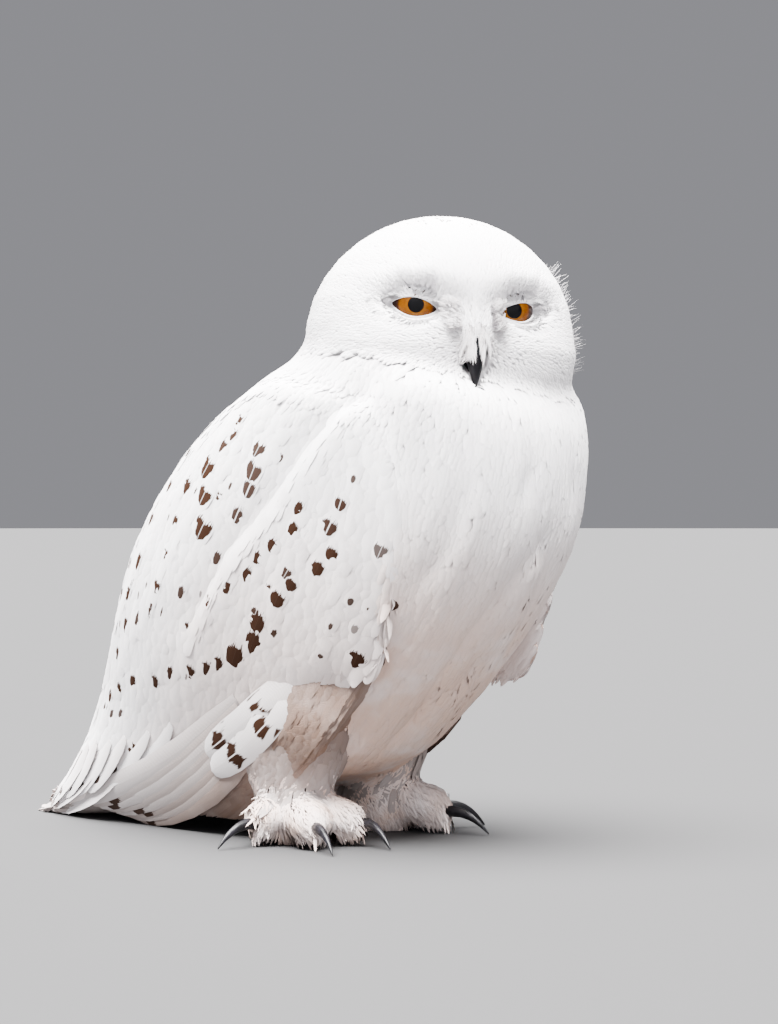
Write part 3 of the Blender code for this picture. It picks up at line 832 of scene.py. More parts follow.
def tuck_behind_lids(obj, lids):
    """Moves the skin round an eye back behind the lids."""
    to_eye = lids.to_frame.inverted()
    half, over, below = LID_OPENING
    for vert in obj.data.vertices:
        place = to_eye @ vert.co
        if place.y < 0 or place.length > ROUND_EYE:
            continue
        height = over if place.z > 0 else below
        angle = math.atan2(place.z / height, place.x / half)
        scale = math.hypot(place.x / half, place.z / height / (1 - 0.35 * math.cos(angle) ** 2))
        lid = to_eye @ Vector(lids.at(angle, max(scale, 0.9)))
        place.y -= max(0.0, place.y - lid.y + 1.5) * float(ease(1.85, 1.55, scale))
        brow, near = brow_limit(place.x, place.z)
        place.y -= max(0.0, place.y + 2.4 - brow) * near
        vert.co = lids.to_frame @ place


# A lid's section, from its margin out under the coat and back behind: share of the opening's
# size, and height over the lids' surface in mm
LID_SECTION = (
    (0.99, -1.2), (0.985, -0.6), (1.0, -0.2), (1.025, 0.05), (1.06, -0.05), (1.1, -0.2),
    (1.16, -0.35), (1.23, -0.4), (1.3, -0.45), (1.4, -0.5), (1.6, -0.8), (1.8, -1.4),
    (2.0, -2.4), (2.0, -4.5), (1.5, -3.4), (1.1, -1.9),
)
BARE_RINGS = (0, 1, 2, 3, len(LID_SECTION) - 1)
LID_POINTS = 60


def make_lids(lids):
    """A ring of lid round an eye: a rounded margin on the eyeball that runs out under the coat."""
    bm = bmesh.new()
    around = np.linspace(0, 2 * math.pi, LID_POINTS, endpoint=False)
    rings = []
    for scale, height in LID_SECTION:
        places = lids.at(around, np.full(LID_POINTS, scale), np.full(LID_POINTS, height))
        rings.append([bm.verts.new(p) for p in places])
    for i, (ring, after) in enumerate(zip(rings, rings[1:] + rings[:1])):
        for k in range(LID_POINTS):
            j = (k + 1) % LID_POINTS
            face = bm.faces.new((ring[k], ring[j], after[j], after[k]))
            face.material_index = int(i in BARE_RINGS)
    bmesh.ops.recalc_face_normals(bm, faces=bm.faces)
    mesh = bpy.data.meshes.new("lids")
    bm.to_mesh(mesh)
    bm.free()
    note(mesh, "part", [LID] * len(mesh.vertices))
    note(mesh, "sunk", [0.001] * len(mesh.vertices))
    return linked("lids", mesh)


# ---------------------------------------------------------------- materials


def maths(operation, swapped=False):
    """A method of Wire that adds a maths node."""

    def method(self, *others):
        values = (*others, self) if swapped else (self, *others)
        return self.finish.maths(operation, *values)

    return method


class Wire:
    """A value in a material that plain arithmetic can be done with."""

    def __init__(self, finish, socket):
        self.finish = finish
        self.socket = socket

    __add__, __sub__, __mul__ = maths("ADD"), maths("SUBTRACT"), maths("MULTIPLY")
    __radd__, __rsub__, __rmul__ = maths("ADD", True), maths("SUBTRACT", True), maths("MULTIPLY", True)
    __truediv__, __pow__, __abs__ = maths("DIVIDE"), maths("POWER"), maths("ABSOLUTE")
    sine = maths("SINE")

    def above(self, low, high):
        """0 at low, 1 at high and a smooth step between; high may be the lower one."""
        settings = {"interpolation_type": "SMOOTHSTEP", "clamp": True}
        values = {0: self, 1: low, 2: high, 3: 0.0, 4: 1.0}
        return self.finish.node("ShaderNodeMapRange", settings, values)


class Finish:
    """A material and the means to add nodes to it."""

    def __init__(self, name):
        self.material = bpy.data.materials.new(name)
        self.material.use_nodes = True
        self.tree = self.material.node_tree
        self.shader = self.tree.nodes["Principled BSDF"]

    def node(self, kind, settings=None, values=None, output=0):
        """A node of the kind, with its settings made first and then its sockets filled."""
        made = self.tree.nodes.new(kind)
        for key, value in (settings or {}).items():
            setattr(made, key, value)
        for key, value in (values or {}).items():
            self.plug(made.inputs[key], value)
        return Wire(self, made.outputs[output])

    def plug(self, socket, value):
        if isinstance(value, Wire):
            self.tree.links.new(value.socket, socket)
        elif hasattr(value, "__len__") and len(value) == 3 and socket.type == "RGBA":
            socket.default_value = (*value, 1.0)
        else:
            socket.default_value = value

    def set(self, **values):
        for key, value in values.items():
            self.plug(self.shader.inputs[key.replace("_", " ")], value)
        return self.material

    def maths(self, operation, *values):
        return self.node("ShaderNodeMath", {"operation": operation}, dict(enumerate(values)))

    def attribute(self, name, output="Fac"):
        return self.node("ShaderNodeAttribute", {"attribute_name": name}, output=output)

    def parts(self, vector):
        """The three numbers of a vector."""
        made = self.tree.nodes.new("ShaderNodeSeparateXYZ")
        self.plug(made.inputs[0], vector)
        return [Wire(self, made.outputs[i]) for i in range(3)]

    def joined(self, x, y, z):
        return self.node("ShaderNodeCombineXYZ", None, {0: x, 1: y, 2: z})

    def mix(self, share, one, two):
        return self.node("ShaderNodeMix", {"data_type": "RGBA"}, {0: share, 6: one, 7: two}, 2)

    def noise(self, place, scale, detail=2.0, rough=0.5):
        values = {"Vector": place, "Scale": scale, "Detail": detail, "Roughness": rough}
        return self.node("ShaderNodeTexNoise", None, values)

    def uv(self, name):
        return self.node("ShaderNodeUVMap", {"uv_map": name})

    def place(self):
        return self.node("ShaderNodeTexCoord", output="Object")

    def bump(self, height, strength, distance):
        values = {"Strength": strength, "Distance": distance, "Height": height}
        return self.node("ShaderNodeBump", None, values)


def colour(name):
    """One of the owl's colours."""
    return tuple(getattr(bpy.context.scene.owl_colours, name))


def times(tone, *factors):
    """A colour, with its channels multiplied by one factor or a factor each."""
    return tuple(c * f for c, f in zip(tone, factors * (3 // len(factors))))


def plumage(name, barbs_along, barb_depth, root_shade=0.22, warm="cream"):
    """Feathers: fine barbs off a shaft, cream or shaded tan and brown by the feather's own attributes;
    the shaded tan is painted shade.
    """
    f = Finish(name)
    across, along, _ = f.parts(f.uv("Vane"))
    tint, cream, bars = (f.attribute(key) for key in ("tint", "cream", "bars"))
    place_along, half_long, half_wide = f.parts(f.attribute("mark_size", "Vector"))
    split, lean, dark = f.parts(f.attribute("mark_form", "Vector"))
    out = abs(across - 0.5) * 2
    x, y = across * barbs_along * 0.25 + tint * 57, along * 3 - out * 1.6 + tint * 91
    strands = f.noise(f.joined(x, y, tint * 33), 3.0, 3)
    ridges = (along * barbs_along * WAVE - out * 9.0 + strands * 3).sine()
    ragged = f.noise(f.joined(across * 9 + tint * 71, along * 2.0 + tint * 13, tint * 17), 2.4, 3, 0.65)
    # a mark: how far along it a place is, as a share of its half length, and how far across
    down = (along - place_along) / half_long + out * lean - lean * 0.3
    wobble = (ragged - 0.5) * (down.above(0.3, -0.6) * 2.3 + 0.9)
    side = out / half_wide
    mark = (down * down * (1 + wobble) + side * side * (1 + wobble * 0.8)).above(1.1, 0.9)
    mark = mark * out.above(split * 0.5 - 0.06, split * 1.3 + 0.01) * dark
    # bars across the whole vane, where the feather has them
    barred = bars.above(0.0, 0.5)
    bar = (along * bars * WAVE + ragged * 2.2 + out * 1.2).sine().above(0.35, 0.6) * barred
    breaks = f.noise(f.joined(across * 1.6 + tint * 37, along * 2.6 + tint * 23, tint * 7), 2.2, 1)
    bar = bar * out.above(0.98, 0.86) * out.above(0.02, 0.06) * dark
    bar = bar * along.above(0.95, 0.9) * breaks.above(0.43, 0.5)
    marked = f.maths("MAXIMUM", mark * (1 - barred), bar)
    # paler patches and tip; painted shade toward the root and along the barbs' streaks, lilac grey on
    # white plumage and 2.2 times the shaded tan on tan plumage
    pale, root = (0.5, colour("shade")) if warm == "cream" else (0.1, times(colour(warm), 2.2))
    base = f.mix(cream, colour("white"), colour(warm))
    base = f.mix(f.noise(f.place(), 34.0, 3).above(0.45, 0.75) * cream * pale, base, colour("white"))
    shade = along.above(0.8, 0.1) * root_shade + (tint - 0.5) * 0.12 + 0.04
    shaded_base = f.mix(strands.above(0.4, 0.8) * 0.12, f.mix(shade, base, root), root)
    tip = f.mix(along.above(0.95, 1.0) * pale * 0.6, shaded_base, colour("white"))
    brown = f.mix(ragged.above(0.3, 0.8) * 0.45, colour("brown"), times(colour("brown"), 1.7))
    height = ridges * 0.3 + strands + out.above(0.12, 0.0) * 0.4
    return f.set(
        Base_Color=f.mix(marked, tip, brown),
        Roughness=strands * 0.12 + 0.66,
        Normal=f.bump(height, 0.3, barb_depth),
        Specular_IOR_Level=0.08,
    )


def skin_finish():
    """Downy underside of the coat, with the coat's own cream and brown, and painted shade in the down's
    fluff.
    """
    f = Finish("downy_skin")
    place = f.place()
    fluff, patches = f.noise(place, 900.0, 4), f.noise(place, 60.0, 2)
    base = f.mix(f.attribute("cream"), colour("white"), colour("cream"))
    # painted shade: the lilac grey shade colour in the down's fluff and patches
    base = f.mix(fluff.above(0.3, 0.75) * 0.25 + patches * 0.1, base, colour("shade"))
    base = f.mix(f.attribute("marked") * (fluff * 0.5 + 0.6), base, colour("brown"))
    return f.set(Base_Color=base, Roughness=0.8 + fluff * 0.15, Normal=f.bump(fluff, 0.6, 0.0006))


def lid_finish():
    """The dark bare margin of the lids."""
    f = Finish("lid_margin")
    grain = f.noise(f.place(), 1400.0, 3)
    base = f.mix(grain.above(0.4, 0.75), (0.0015, 0.001, 0.001), (0.006, 0.003, 0.0025))
    bump = f.bump(grain, 0.4, 0.0002)
    return f.set(Base_Color=base, Roughness=0.5 + grain * 0.2, Normal=bump, Specular_IOR_Level=0.15)


def eye_finish():
    """An amber iris with spokes, a darker rim and a round pupil."""
    f = Finish("amber_eye")
    x, z, _ = f.parts(f.uv("Iris"))
    x, z = (x - 0.5) * IRIS_MAP, (z - 0.5) * IRIS_MAP
    reach = (x * x + z * z) ** 0.5
    spokes = f.noise(f.joined(f.maths("ARCTAN2", z, x) * 9, reach * 0.35, 0.0), 1.6, 4, 0.6)
    patches = f.noise(f.joined(x, z, 0.0), 0.18, 3)
    amber = colour("amber")
    iris = f.mix(spokes.above(0.3, 0.75), times(amber, 0.5), amber)
    iris = f.mix(patches.above(0.4, 0.7) * 0.5, iris, times(amber, 1.3, 1.6, 2))
    iris = f.mix(reach.above(7.0, 4.9) * 0.4, iris, times(amber, 1.3, 1.8, 2))
    rim = f.mix(reach.above(8.8, 10.6), iris, (0.018, 0.005, 0.002))
    return f.set(
        Base_Color=f.mix(reach.above(4.75, 4.45), rim, (0.0004, 0.0004, 0.0007)),
        Roughness=0.34,
        Normal=f.bump(spokes * reach.above(4.5, 5.2), 0.25, 0.0003),
        Coat_Weight=0.15,
        Coat_Roughness=0.03,
        Specular_IOR_Level=0.06,
    )


def horn_finish(name, tone, shine):
    """Dark polished horn with fine grain along it and paler scuffs."""
    f = Finish(name)
    place = f.place()
    grain, fine = f.noise(place, 260.0, 5, 0.6), f.noise(place, 1800.0, 3)
    return f.set(
        Base_Color=f.mix(grain.above(0.35, 0.75), colour("horn"), times(colour("horn"), tone)),
        Roughness=0.32 + fine * 0.2,
        Normal=f.bump(fine + grain, 0.25, 0.0002),
        Coat_Weight=0.3 * shine,
        Coat_Roughness=0.25,
        Specular_IOR_Level=shine,
    )


# ---------------------------------------------------------------- feathers


class Coat:
    """Feathers of one piece, gathered batch by batch and built as one mesh.

    Each feather is a closed vane: rings of points across it, a flat underside, and a tip. Where
    the undersides can be seen, they have points and walls of their own, a thickness below.
    """

    def __init__(self, name, profile, across=3, arch=0.16, roundness=0.35, thickness=0.0):
        self.name, self.profile = name, profile
        self.across = np.linspace(-1, 1, across)
        self.arch, self.roundness, self.thickness = arch, roundness, thickness
        self.batches = []

    def add(self, centres, normals, width, uv, profile=None, **looks):
        """Adds feathers along centre lines, with their widths and whichever looks aren't usual."""
        count = len(centres)
        widths = np.broadcast_to(width, count)[:, None] * np.array((profile or self.profile)[1])
        for key, usual in USUAL_LOOKS.items():
            looks[key] = np.broadcast_to(looks.get(key, usual), (count, *np.shape(usual)))
        self.batches.append((centres, normals, widths, uv, looks))

    def faces(self, rings, m):
        """The faces of one vane; with a thickness, each ring ends in its two lower points."""
        walled = self.thickness > 0
        wide = m + 2 * walled
        last, tip = (rings - 1) * wide, rings * wide
        faces = []
        for a in range(0, last, wide):
            b = a + wide
            faces += [(a + j, b + j, b + j + 1, a + j + 1) for j in range(m - 1)]
            if walled:
                faces.append((b, a, a + m, b + m))
                faces.append((a + m - 1, b + m - 1, b + m + 1, a + m + 1))
                faces.append((b + m, a + m, a + m + 1, b + m + 1))
            else:
                faces.append((a, a + m - 1, b + m - 1, b))
        faces += [(last + j, tip, last + j + 1) for j in range(m - 1)]
        if not walled:
            return [*faces, (last, last + m - 1, tip), tuple(range(m))]
        faces.append((tip, last, last + m, tip + 1))
        faces.append((last + m - 1, tip, tip + 1, last + m + 1))
        return [*faces, (tip + 1, last + m, last + m + 1), (*range(m), m + 1, m)]

    def build(self, material):
        """Makes the piece out of all its feathers."""
        *columns, looks = zip(*self.batches)
        centres, normals, widths, uv = (np.concatenate(column) for column in columns)
        count, rings, m = len(centres), centres.shape[1] - 1, len(self.across)
        faces = self.faces(rings, m)
        sides = unit(np.cross(normals, np.gradient(centres, axis=1)))
        rise = ((1 - self.across**2) * self.arch)[:, None]
        half = widths[:, :rings, None, None] / 2
        over = sides[:, :rings, None] * self.across[:, None]
        body = centres[:, :rings, None] + over * half + normals[:, :rings, None] * rise * half * 2
        # soft shading: the top follows the coat as a whole, with a little of the vane's own form
        facing = unit(normals[:, :rings, None] + over * self.roundness)
        share = np.repeat(np.array(self.profile[0][:rings])[:, None], m, 1)
        sideways = np.tile(self.across / 2 + 0.5, (rings, 1))
        ends, end_facing = centres[:, -1:], normals[:, -1:]
        if self.thickness > 0:
            drop = normals[:, :, None] * self.thickness
            body = np.concatenate([body, body[:, :, [0, -1]] - drop[:, :rings]], 2)
            facing = np.concatenate([facing, -facing[:, :, [0, -1]]], 2)
            share = np.concatenate([share, share[:, :2]], 1)
            sideways = np.concatenate([sideways, sideways[:, [0, -1]]], 1)
            ends = np.concatenate([ends, ends - drop[:, -1]], 1)
            end_facing = np.concatenate([end_facing, -end_facing], 1)
        points = np.concatenate([body.reshape(count, -1, 3), ends], 1)
        facing = np.concatenate([facing.reshape(count, -1, 3), end_facing], 1)
        points[..., 2] = np.maximum(points[..., 2], FEATHER_FLOOR)
        each, tips = points.shape[1], ends.shape[1]
        corners = np.concatenate([np.array(face) for face in faces])
        sizes = np.array([len(face) for face in faces])
        feathers = np.arange(count)[:, None]
        loops = (feathers * each + corners).ravel()
        starts = (feathers * len(corners) + np.concatenate([[0], np.cumsum(sizes)[:-1]])).ravel()
        mesh = bpy.data.meshes.new(self.name)
        for items, key, values, width in (
            (mesh.vertices, "co", points.ravel(), 3),
            (mesh.loops, "vertex_index", loops, 1),
            (mesh.polygons, "loop_start", starts, 1),
        ):
            items.add(len(values) // width)
            items.foreach_set(key, values)
        mesh.update(calc_edges=True)
        mesh.shade_smooth()
        note(mesh, "custom_normal", facing)
        vane = np.stack([np.append(sideways, [0.5] * tips), np.append(share, [1.0] * tips)], -1)
        vane = np.tile(vane[corners], (count, 1))
        patch = np.clip(np.repeat(uv, len(corners), 0) + (vane - 0.5) * PATCH, 0, 1)
        for layer, values in (("Vane", vane), ("OFBake", patch)):
            mesh.uv_layers.new(name=layer).uv.foreach_set("vector", values.ravel())
        for key in USUAL_LOOKS:
            note(mesh, key, np.repeat(np.concatenate([batch[key] for batch in looks]), each, 0))
        mesh.materials.append(material)
        triangles = int((sizes - 2).sum()) * count
        if triangles >= MOST_TRIANGLES:
            raise RuntimeError(f"{self.name} has {triangles} triangles")
        print(self.name, count, "feathers", triangles, "triangles")
        made = linked(self.name, mesh)
        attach(made, "root")


class Work:
    """What the skin's operator leaves for the feathers' operators."""

    skin = None
    body_map = None
    blockers = None
    lids = ()


def lay(roots, flow, length, start, finish, profile, bend=None, tuck=0.12):
    """Centre lines that follow the skin from the roots and rise off it, with their tips tucked in."""
    length = length[:, None]
    flow = along_surface(flow, roots.normals)
    middle, normal_m, _ = Work.skin.nearest(roots.points + flow * length / 2, roots.normals)
    onward = along_surface(flow, normal_m)
    end, normal_e, end_depth = Work.skin.nearest(middle + onward * length / 2, normal_m)
    t = np.array(profile[0])[:, None]
    first, second, third = roots.points[:, None], middle[:, None], end[:, None]
    line = first * (1 - t) * (1 - 2 * t) + second * 4 * t * (1 - t) + third * t * (2 * t - 1)
    normals = unit(roots.normals[:, None] * (1 - t) + normal_m[:, None] * 0.4 + normal_e[:, None] * t)
    # onto skin that lies deeper or less deep, as high over it as over the root
    start, finish = start[:, None, None], finish[:, None, None]
    finish = finish * np.clip(end_depth / roots.depth, 0.2, 1.6)[:, None, None]
    line = line + normals * (start + (finish - start) * (1 - (1 - t) ** 2.6) - finish * tuck * t**5)
    if bend is not None:
        side = unit(np.cross(roots.normals, flow))
        line = line + side[:, None] * bend[:, None, None] * t**2
    return line, normals


def lay_coat(roots, flow, size, fullness, profile, swing, tuck, rng, full=None, share=1.0):
    """Lays a coat's feathers, no two of which are quite as full or swing as far to a side."""
    full = roots.depth if full is None else full
    rise = full * rng.uniform(*fullness, len(roots)) * share
    bend = rng.normal(0, swing, len(roots)) * size
    return lay(roots, flow, size, full * ROOT_HEIGHT, rise, profile, bend, tuck)


def kept_on_part(roots, flow, length):
    """Shorter lengths for feathers whose tips would leave their own part of the body or the skin."""
    flow = along_surface(flow, roots.normals)
    for _ in range(3):
        _, faces, far = Work.skin.found(roots.points + flow * length[:, None])
        off = (Work.skin.part[faces] != roots.part) | (far > 0.006)
        length = np.where(off, length * 0.65, length)
    return length


def unblocked(roots):
    """The roots whose feathers don't grow into the eyes or the bill."""
    keep = []
    for point, normal in zip(roots.points, roots.normals):
        place = Vector(point)
        ahead = Work.blockers.ray_cast(place, Vector(normal), BLOCKED_AHEAD)[0]
        keep.append(ahead is None and Work.blockers.find_nearest(place)[3] >= BLOCKED_NEAR)
    return roots.keep(np.array(keep))


def eye_share(points):
    """How far points are from the middle of the nearer eye, as a share of its opening."""
    half, over, below = LID_OPENING
    share = np.full(len(points), AWAY_FROM_EYES)
    for side in SIDES:
        p = moved(eye_frame(side).inverted(), points)
        here = np.hypot(p[:, 0] / half, p[:, 2] / np.where(p[:, 2] > 0, over, below))
        near = (p[:, 1] > 0) & (np.linalg.norm(p, axis=1) < ROUND_EYE)
        share = np.minimum(share, np.where(near, here, AWAY_FROM_EYES))
    return share


def head_flow(points):
    """The lie of the feathers on the head: out from the bill and the eyes, and down behind."""
    q = in_head(points)
    flow = unit(q - np.array(BILL_IN_HEAD))
    turn = math.radians(EYE_TURN)
    for mirror in MIRROR.values():
        eye = np.array((EYE_IN_HEAD.x * mirror, EYE_IN_HEAD.y, EYE_IN_HEAD.z))
        front = eye + np.array((math.sin(turn) * mirror, math.cos(turn), 0)) * EYE_RADIUS
        out = (q - front) * np.array((1.0, 1.0, 1.6))
        near = np.exp(-((np.linalg.norm(out, axis=1) / 21) ** 4))[:, None]
        flow = flow + unit(out) * near * 3.0
    back, low = ease(20, -45, q[:, 1])[:, None], ease(-8, -34, q[:, 2])[:, None]
    return turned(HEAD_FRAME, flow + back * np.array((0, 0, -1.1)) + low * np.array((0, -0.1, -1.5)))


def body_flow(roots):
    """The lie of the feathers at each root."""
    flow = Work.body_map.at(roots.points)[2]
    flow = np.where(np.isin(roots.part, (HEAD, LID))[:, None], head_flow(roots.points), flow)
    low = ease(0.055, 0.03, roots.points[:, 2])[:, None]
    leg = np.isin(roots.part, (LEG_R, LEG_L))[:, None]
    flow = np.where(leg, unit(flow * (1 - low) + np.array((0, 0.2, -1.0)) * (0.25 + low)), flow)
    for part, side in ((FOOT_R, "right"), (FOOT_L, "left")):
        middle = centre_of(f"leg_{side}")
        out = roots.points - np.array((middle.x, middle.y + 0.012, 0.034))
        out = unit(out * np.array((1, 1, 0.5))) + np.array((0, 0, -0.5))
        flow = np.where((roots.part == part)[:, None], out, flow)
    return unit(np.where((roots.part == TAIL)[:, None], np.array((0, 1.0, -0.1)), flow))


def jittered(flow, roots, amount, rng):
    """The lie of the feathers along the skin, a little different for each."""
    return along_surface(flow + rng.normal(0, amount, (len(roots), 3)), roots.normals)


def cream_and_low_shade(points):
    """How cream the plumage is: most on the belly, flanks and legs, less toward the back, and more near
    the floor, where it is painted shade.
    """
    level, angle, _ = Work.body_map.at(points)
    front = ease(60, 105, np.abs((angle + 180) % 360 - 180))
    low = ease(2.6, 6.2, level)
    # the share near the floor is painted shade of the lowest plumage
    return np.clip(low * front * 0.9 + 0.3 * ease(0.07, 0.02, points[:, 2]), 0, 1)


def long_feather(coat, path, facing, width, rng, cream, bars=0.0, dark=0.0, mark=(0.7, 0.3, 0.5)):
    """One long feather along a path, facing outwards."""
    line = along_path(path, LONG[0])
    ahead = unit(np.gradient(line, axis=0))
    normals = along_surface(np.tile(unit(facing), (len(line), 1)), ahead)
    width = width * MM * rng.uniform(0.95, 1.08)
    uv = Work.skin.under(line[2:3]).uv
    looks = {"cream": cream, "bars": bars, "mark_size": mark, "mark_form": (0.04, 0.5, dark)}
    coat.add(line[None], normals[None], width, uv, tint=rng.random(1), **looks)


# ---------------------------------------------------------------- operators


class OWL_OT_skin(bpy.types.Operator):
    """One skin over all the flesh, sunk under the coat, with the lids round the eyes"""

    bl_idname = "owl.skin"
    bl_label = "Skin and lids"

    def execute(self, context):
        flesh_tree, owner = mesh_tree(FLESH)
        Work.body_map = BodyMap()
        Work.blockers, _ = mesh_tree(("eye_right", "eye_left", "bill_upper", "bill_lower"))
        skin = joined([copied(node, "skin") for node in FLESH])
        skin.name = skin.data.name = "skin"
        apply_modifier(skin, "REMESH", mode="VOXEL", voxel_size=VOXEL)
        keep_largest(skin)
        apply_modifier(skin, "SMOOTH", factor=0.5, iterations=4)
        sink_under_coat(skin, flesh_tree, owner)
        skin.data.materials.clear()
        Work.lids = [Lids(side, flesh_tree) for side in SIDES]
        for lids in Work.lids:
            tuck_behind_lids(skin, lids)
        skin = joined([skin, *(make_lids(lids) for lids in Work.lids)])
        mesh = skin.data
        points = read(mesh.vertices, "co", 3)
        part = read(mesh.attributes["part"].data, "value", kind=int)
        note(mesh, "cream", cream_and_low_shade(points) * ~np.isin(part, (HEAD, LID)))
        marked = np.zeros(len(points))
        for side in SIDES:
            for centre, mark in zip(*mark_places(side)):
                far = np.linalg.norm(points - centre, axis=1)
                marked = np.maximum(marked, mark[4] * (far < (mark[0] + mark[1]) / 4 * MM + 0.002))
        note(mesh, "marked", marked)
        mesh.materials.append(skin_finish())
        mesh.materials.append(lid_finish())
        mesh.shade_smooth()
        mesh.uv_layers.new(name="OFBake")
        unwrap = {"angle_limit": math.radians(66), "island_margin": 0.001}
        edit_whole(skin, (bpy.ops.uv.smart_project, unwrap))
        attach(skin, "root")
        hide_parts(*FLESH)
        Work.skin = Skin(skin)
        return {"FINISHED"}


class OWL_OT_eyes(bpy.types.Operator):
    """Eyes with an amber iris, a round pupil and a clear bulging cornea"""

    bl_idname = "owl.eyes"
    bl_label = "Eyes"

    def execute(self, context):
        finish = eye_finish()
        down = Matrix.Rotation(math.radians(GAZE_DOWN), 4, "X")
        for side in SIDES:
            deselect_all()
            bpy.ops.mesh.primitive_uv_sphere_add(segments=64, ring_count=40, radius=EYE_RADIUS)
            eye = context.object
            eye.name = eye.data.name = f"eyeball_{side}"
            mesh = eye.data
            mesh.transform(Matrix.Rotation(-math.pi / 2, 4, "X"))
            # the cornea bulges out a little
            for vert in mesh.vertices:
                tilt = math.degrees(vert.co.angle(Vector((0, 1, 0))))
                vert.co *= 1 + 0.02 * max(0.0, 1 - (tilt / 46) ** 2)
            # the iris is mapped from straight ahead, and the back of the eye well outside it
            layer = mesh.uv_layers[0]
            layer.name = "Iris"
            for loop in mesh.loops:
                co = mesh.vertices[loop.vertex_index].co
                spread = 1 if co.y > 0 else 4
                place = (0.5 + co.x * spread / IRIS_MAP, 0.5 + co.z * spread / IRIS_MAP)
                layer.uv[loop.index].vector = place
            gaze = Matrix.Rotation(math.radians(GAZE[side]), 4, "Z") @ down
            mesh.transform(eye_frame(side) @ gaze)
            edit_whole(eye, (bpy.ops.mesh.normals_make_consistent, {"inside": False}))
            mesh.shade_smooth()
            mesh.materials.append(finish)
            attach(eye, "root")
            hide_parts(f"eye_{side}")
        return {"FINISHED"}


def smooth_copy(node, name, material, levels):
    """Makes a finer, rounded copy of a solid that stands for it."""
    made = copied(node, name)
    apply_modifier(made, "SUBSURF", levels=levels, render_levels=levels)
    made.data.materials.append(material)
    made.data.shade_smooth()
    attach(made, "root")
    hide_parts(node)


class OWL_OT_bill(bpy.types.Operator):
    """The two halves of the hooked black bill"""

    bl_idname = "owl.bill"
    bl_label = "Bill"

    def execute(self, context):
        finish = horn_finish("bill_horn", 1.5, 0.1)
        for half in ("upper", "lower"):
            smooth_copy(f"bill_{half}", f"hooked_bill_{half}", finish, 2)
        return {"FINISHED"}


class OWL_OT_claws(bpy.types.Operator):
    """Eight curved claws of dark horn"""

    bl_idname = "owl.claws"
    bl_label = "Claws"

    def execute(self, context):
        finish = horn_finish("claw_horn", 6.0, 0.3)
        for side in SIDES:
            for toe in TOES:
                smooth_copy(f"claw_{side}_{toe}", f"talon_{side}_{toe}", finish, 1)
        return {"FINISHED"}


class OWL_OT_head_coat(bpy.types.Operator):
    """Fine tufts over the face and lids and soft ones over the rest of the head"""

    bl_idname = "owl.head_coat"
    bl_label = "Head feathers"

    def execute(self, context):
        sizes, skin = context.scene.owl_sizes, Work.skin
        rng = np.random.default_rng(11)
        q = in_head(skin.middles)
        on_head = skin.part == HEAD
        face = on_head & (q[:, 1] > 8)
        material = plumage("face_plumage", 12.0, 0.0001)
        for name, chosen, spacing, length in (
            ("coat_face_right", face & (q[:, 0] >= 0), sizes.face_spacing, sizes.face_length),
            ("coat_face_left", face & (q[:, 0] < 0), sizes.face_spacing, sizes.face_length),
            ("coat_nape", on_head & ~face, sizes.nape_spacing, sizes.face_length * 1.45),
        ):
            roots = skin.scatter(chosen, spacing, rng)
            roots = unblocked(roots.keep(eye_share(roots.points) > 1.3))
            count = len(roots)
            flow = jittered(head_flow(roots.points), roots, 0.09, rng)
            place = in_head(roots.points)
            far = np.linalg.norm(place - np.array(BILL_IN_HEAD), axis=1)
            size = length * (0.72 + 0.35 * ease(10, 60, far)) * rng.uniform(0.8, 1.2, count)
            full = roots.depth * (0.6 + 0.4 * ease(1.4, 2.6, eye_share(roots.points)))
            line, normals = lay_coat(roots, flow, size, (0.93, 1.0), FINE, 0.07, 0.3, rng, full)
            width = size * rng.uniform(0.22, 0.32, count)
            specks = (rng.random(count) < 0.05) & (place[:, 2] > 58) & (place[:, 1] > -20)
            form = np.zeros((count, 3))
            # painted shade: tufts near the bill are darkened with brown, the shade among the bristles;
            # the crown's specks are real flecks
            form[:, 2] = np.exp(-((far / 16) ** 2)) * rng.uniform(0.0, 0.5, count)
            form[specks, 2] = 0.9
            coat = Coat(name, FINE, roundness=0.45)
            looks = {"mark_size": (0.6, 0.5, 1.6), "mark_form": form}
            coat.add(line, normals, width, roots.uv, tint=rng.random(count), **looks)
            coat.build(material)
        coat = Coat("coat_lids", FINE)
        for lids in Work.lids:
            self.lid_tufts(coat, lids, rng)
        coat.build(material)
        return {"FINISHED"}

    def lid_tufts(self, coat, lids, rng):
        """The smallest tufts, on a lid from its bare margin outwards."""
        edge, inner = LID_TUFTS
        turn = np.linspace(0, 2 * math.pi, 720, endpoint=False)
        reach = np.hypot(*lid_outline(turn, 1.0))
        spread = rng.choice(turn, inner, p=reach**2 / (reach**2).sum())
        around = np.concatenate([np.linspace(0, 2 * math.pi, edge, endpoint=False), spread])
        around = around + rng.normal(0, 0.02, len(around))
        count = len(around)
        half = np.hypot(*lid_outline(around, 1.0))
        scale = np.sqrt(rng.uniform(1.06**2, 1.7**2, count))
        scale[:edge] = 1.05 + rng.uniform(0, 0.25, edge) / half[:edge]
        beyond = (scale - 1.05) * half
        length = rng.uniform(2.2, 3.2, count) + beyond * 0.25
        t = np.array(FINE[0])
        scales = scale[:, None] + t * (length / half)[:, None]
        lift = rng.uniform(0.25, 0.8, count)[:, None] * (0.6 + 0.4 * ease(0, 2, beyond))[:, None]
        height = 0.1 + np.sin(np.pi * t * 0.8) * lift + 0.6 * ease(1.2, 1.8, scales)
        swing = around[:, None] + t * rng.normal(0, 0.06, count)[:, None]
        line = lids.at(swing, scales, height)
        normals = unit(line - np.array(lids.to_frame.translation))
        outward = unit(line - np.array(HEAD_FRAME.translation))
        normals = unit(normals + outward * 1.2 + np.array((0, 0, 0.35)))
        width = rng.uniform(0.7, 1.1, count) * MM
        coat.add(line, normals, width, Work.skin.under(line[:, 0]).uv, tint=rng.random(count))


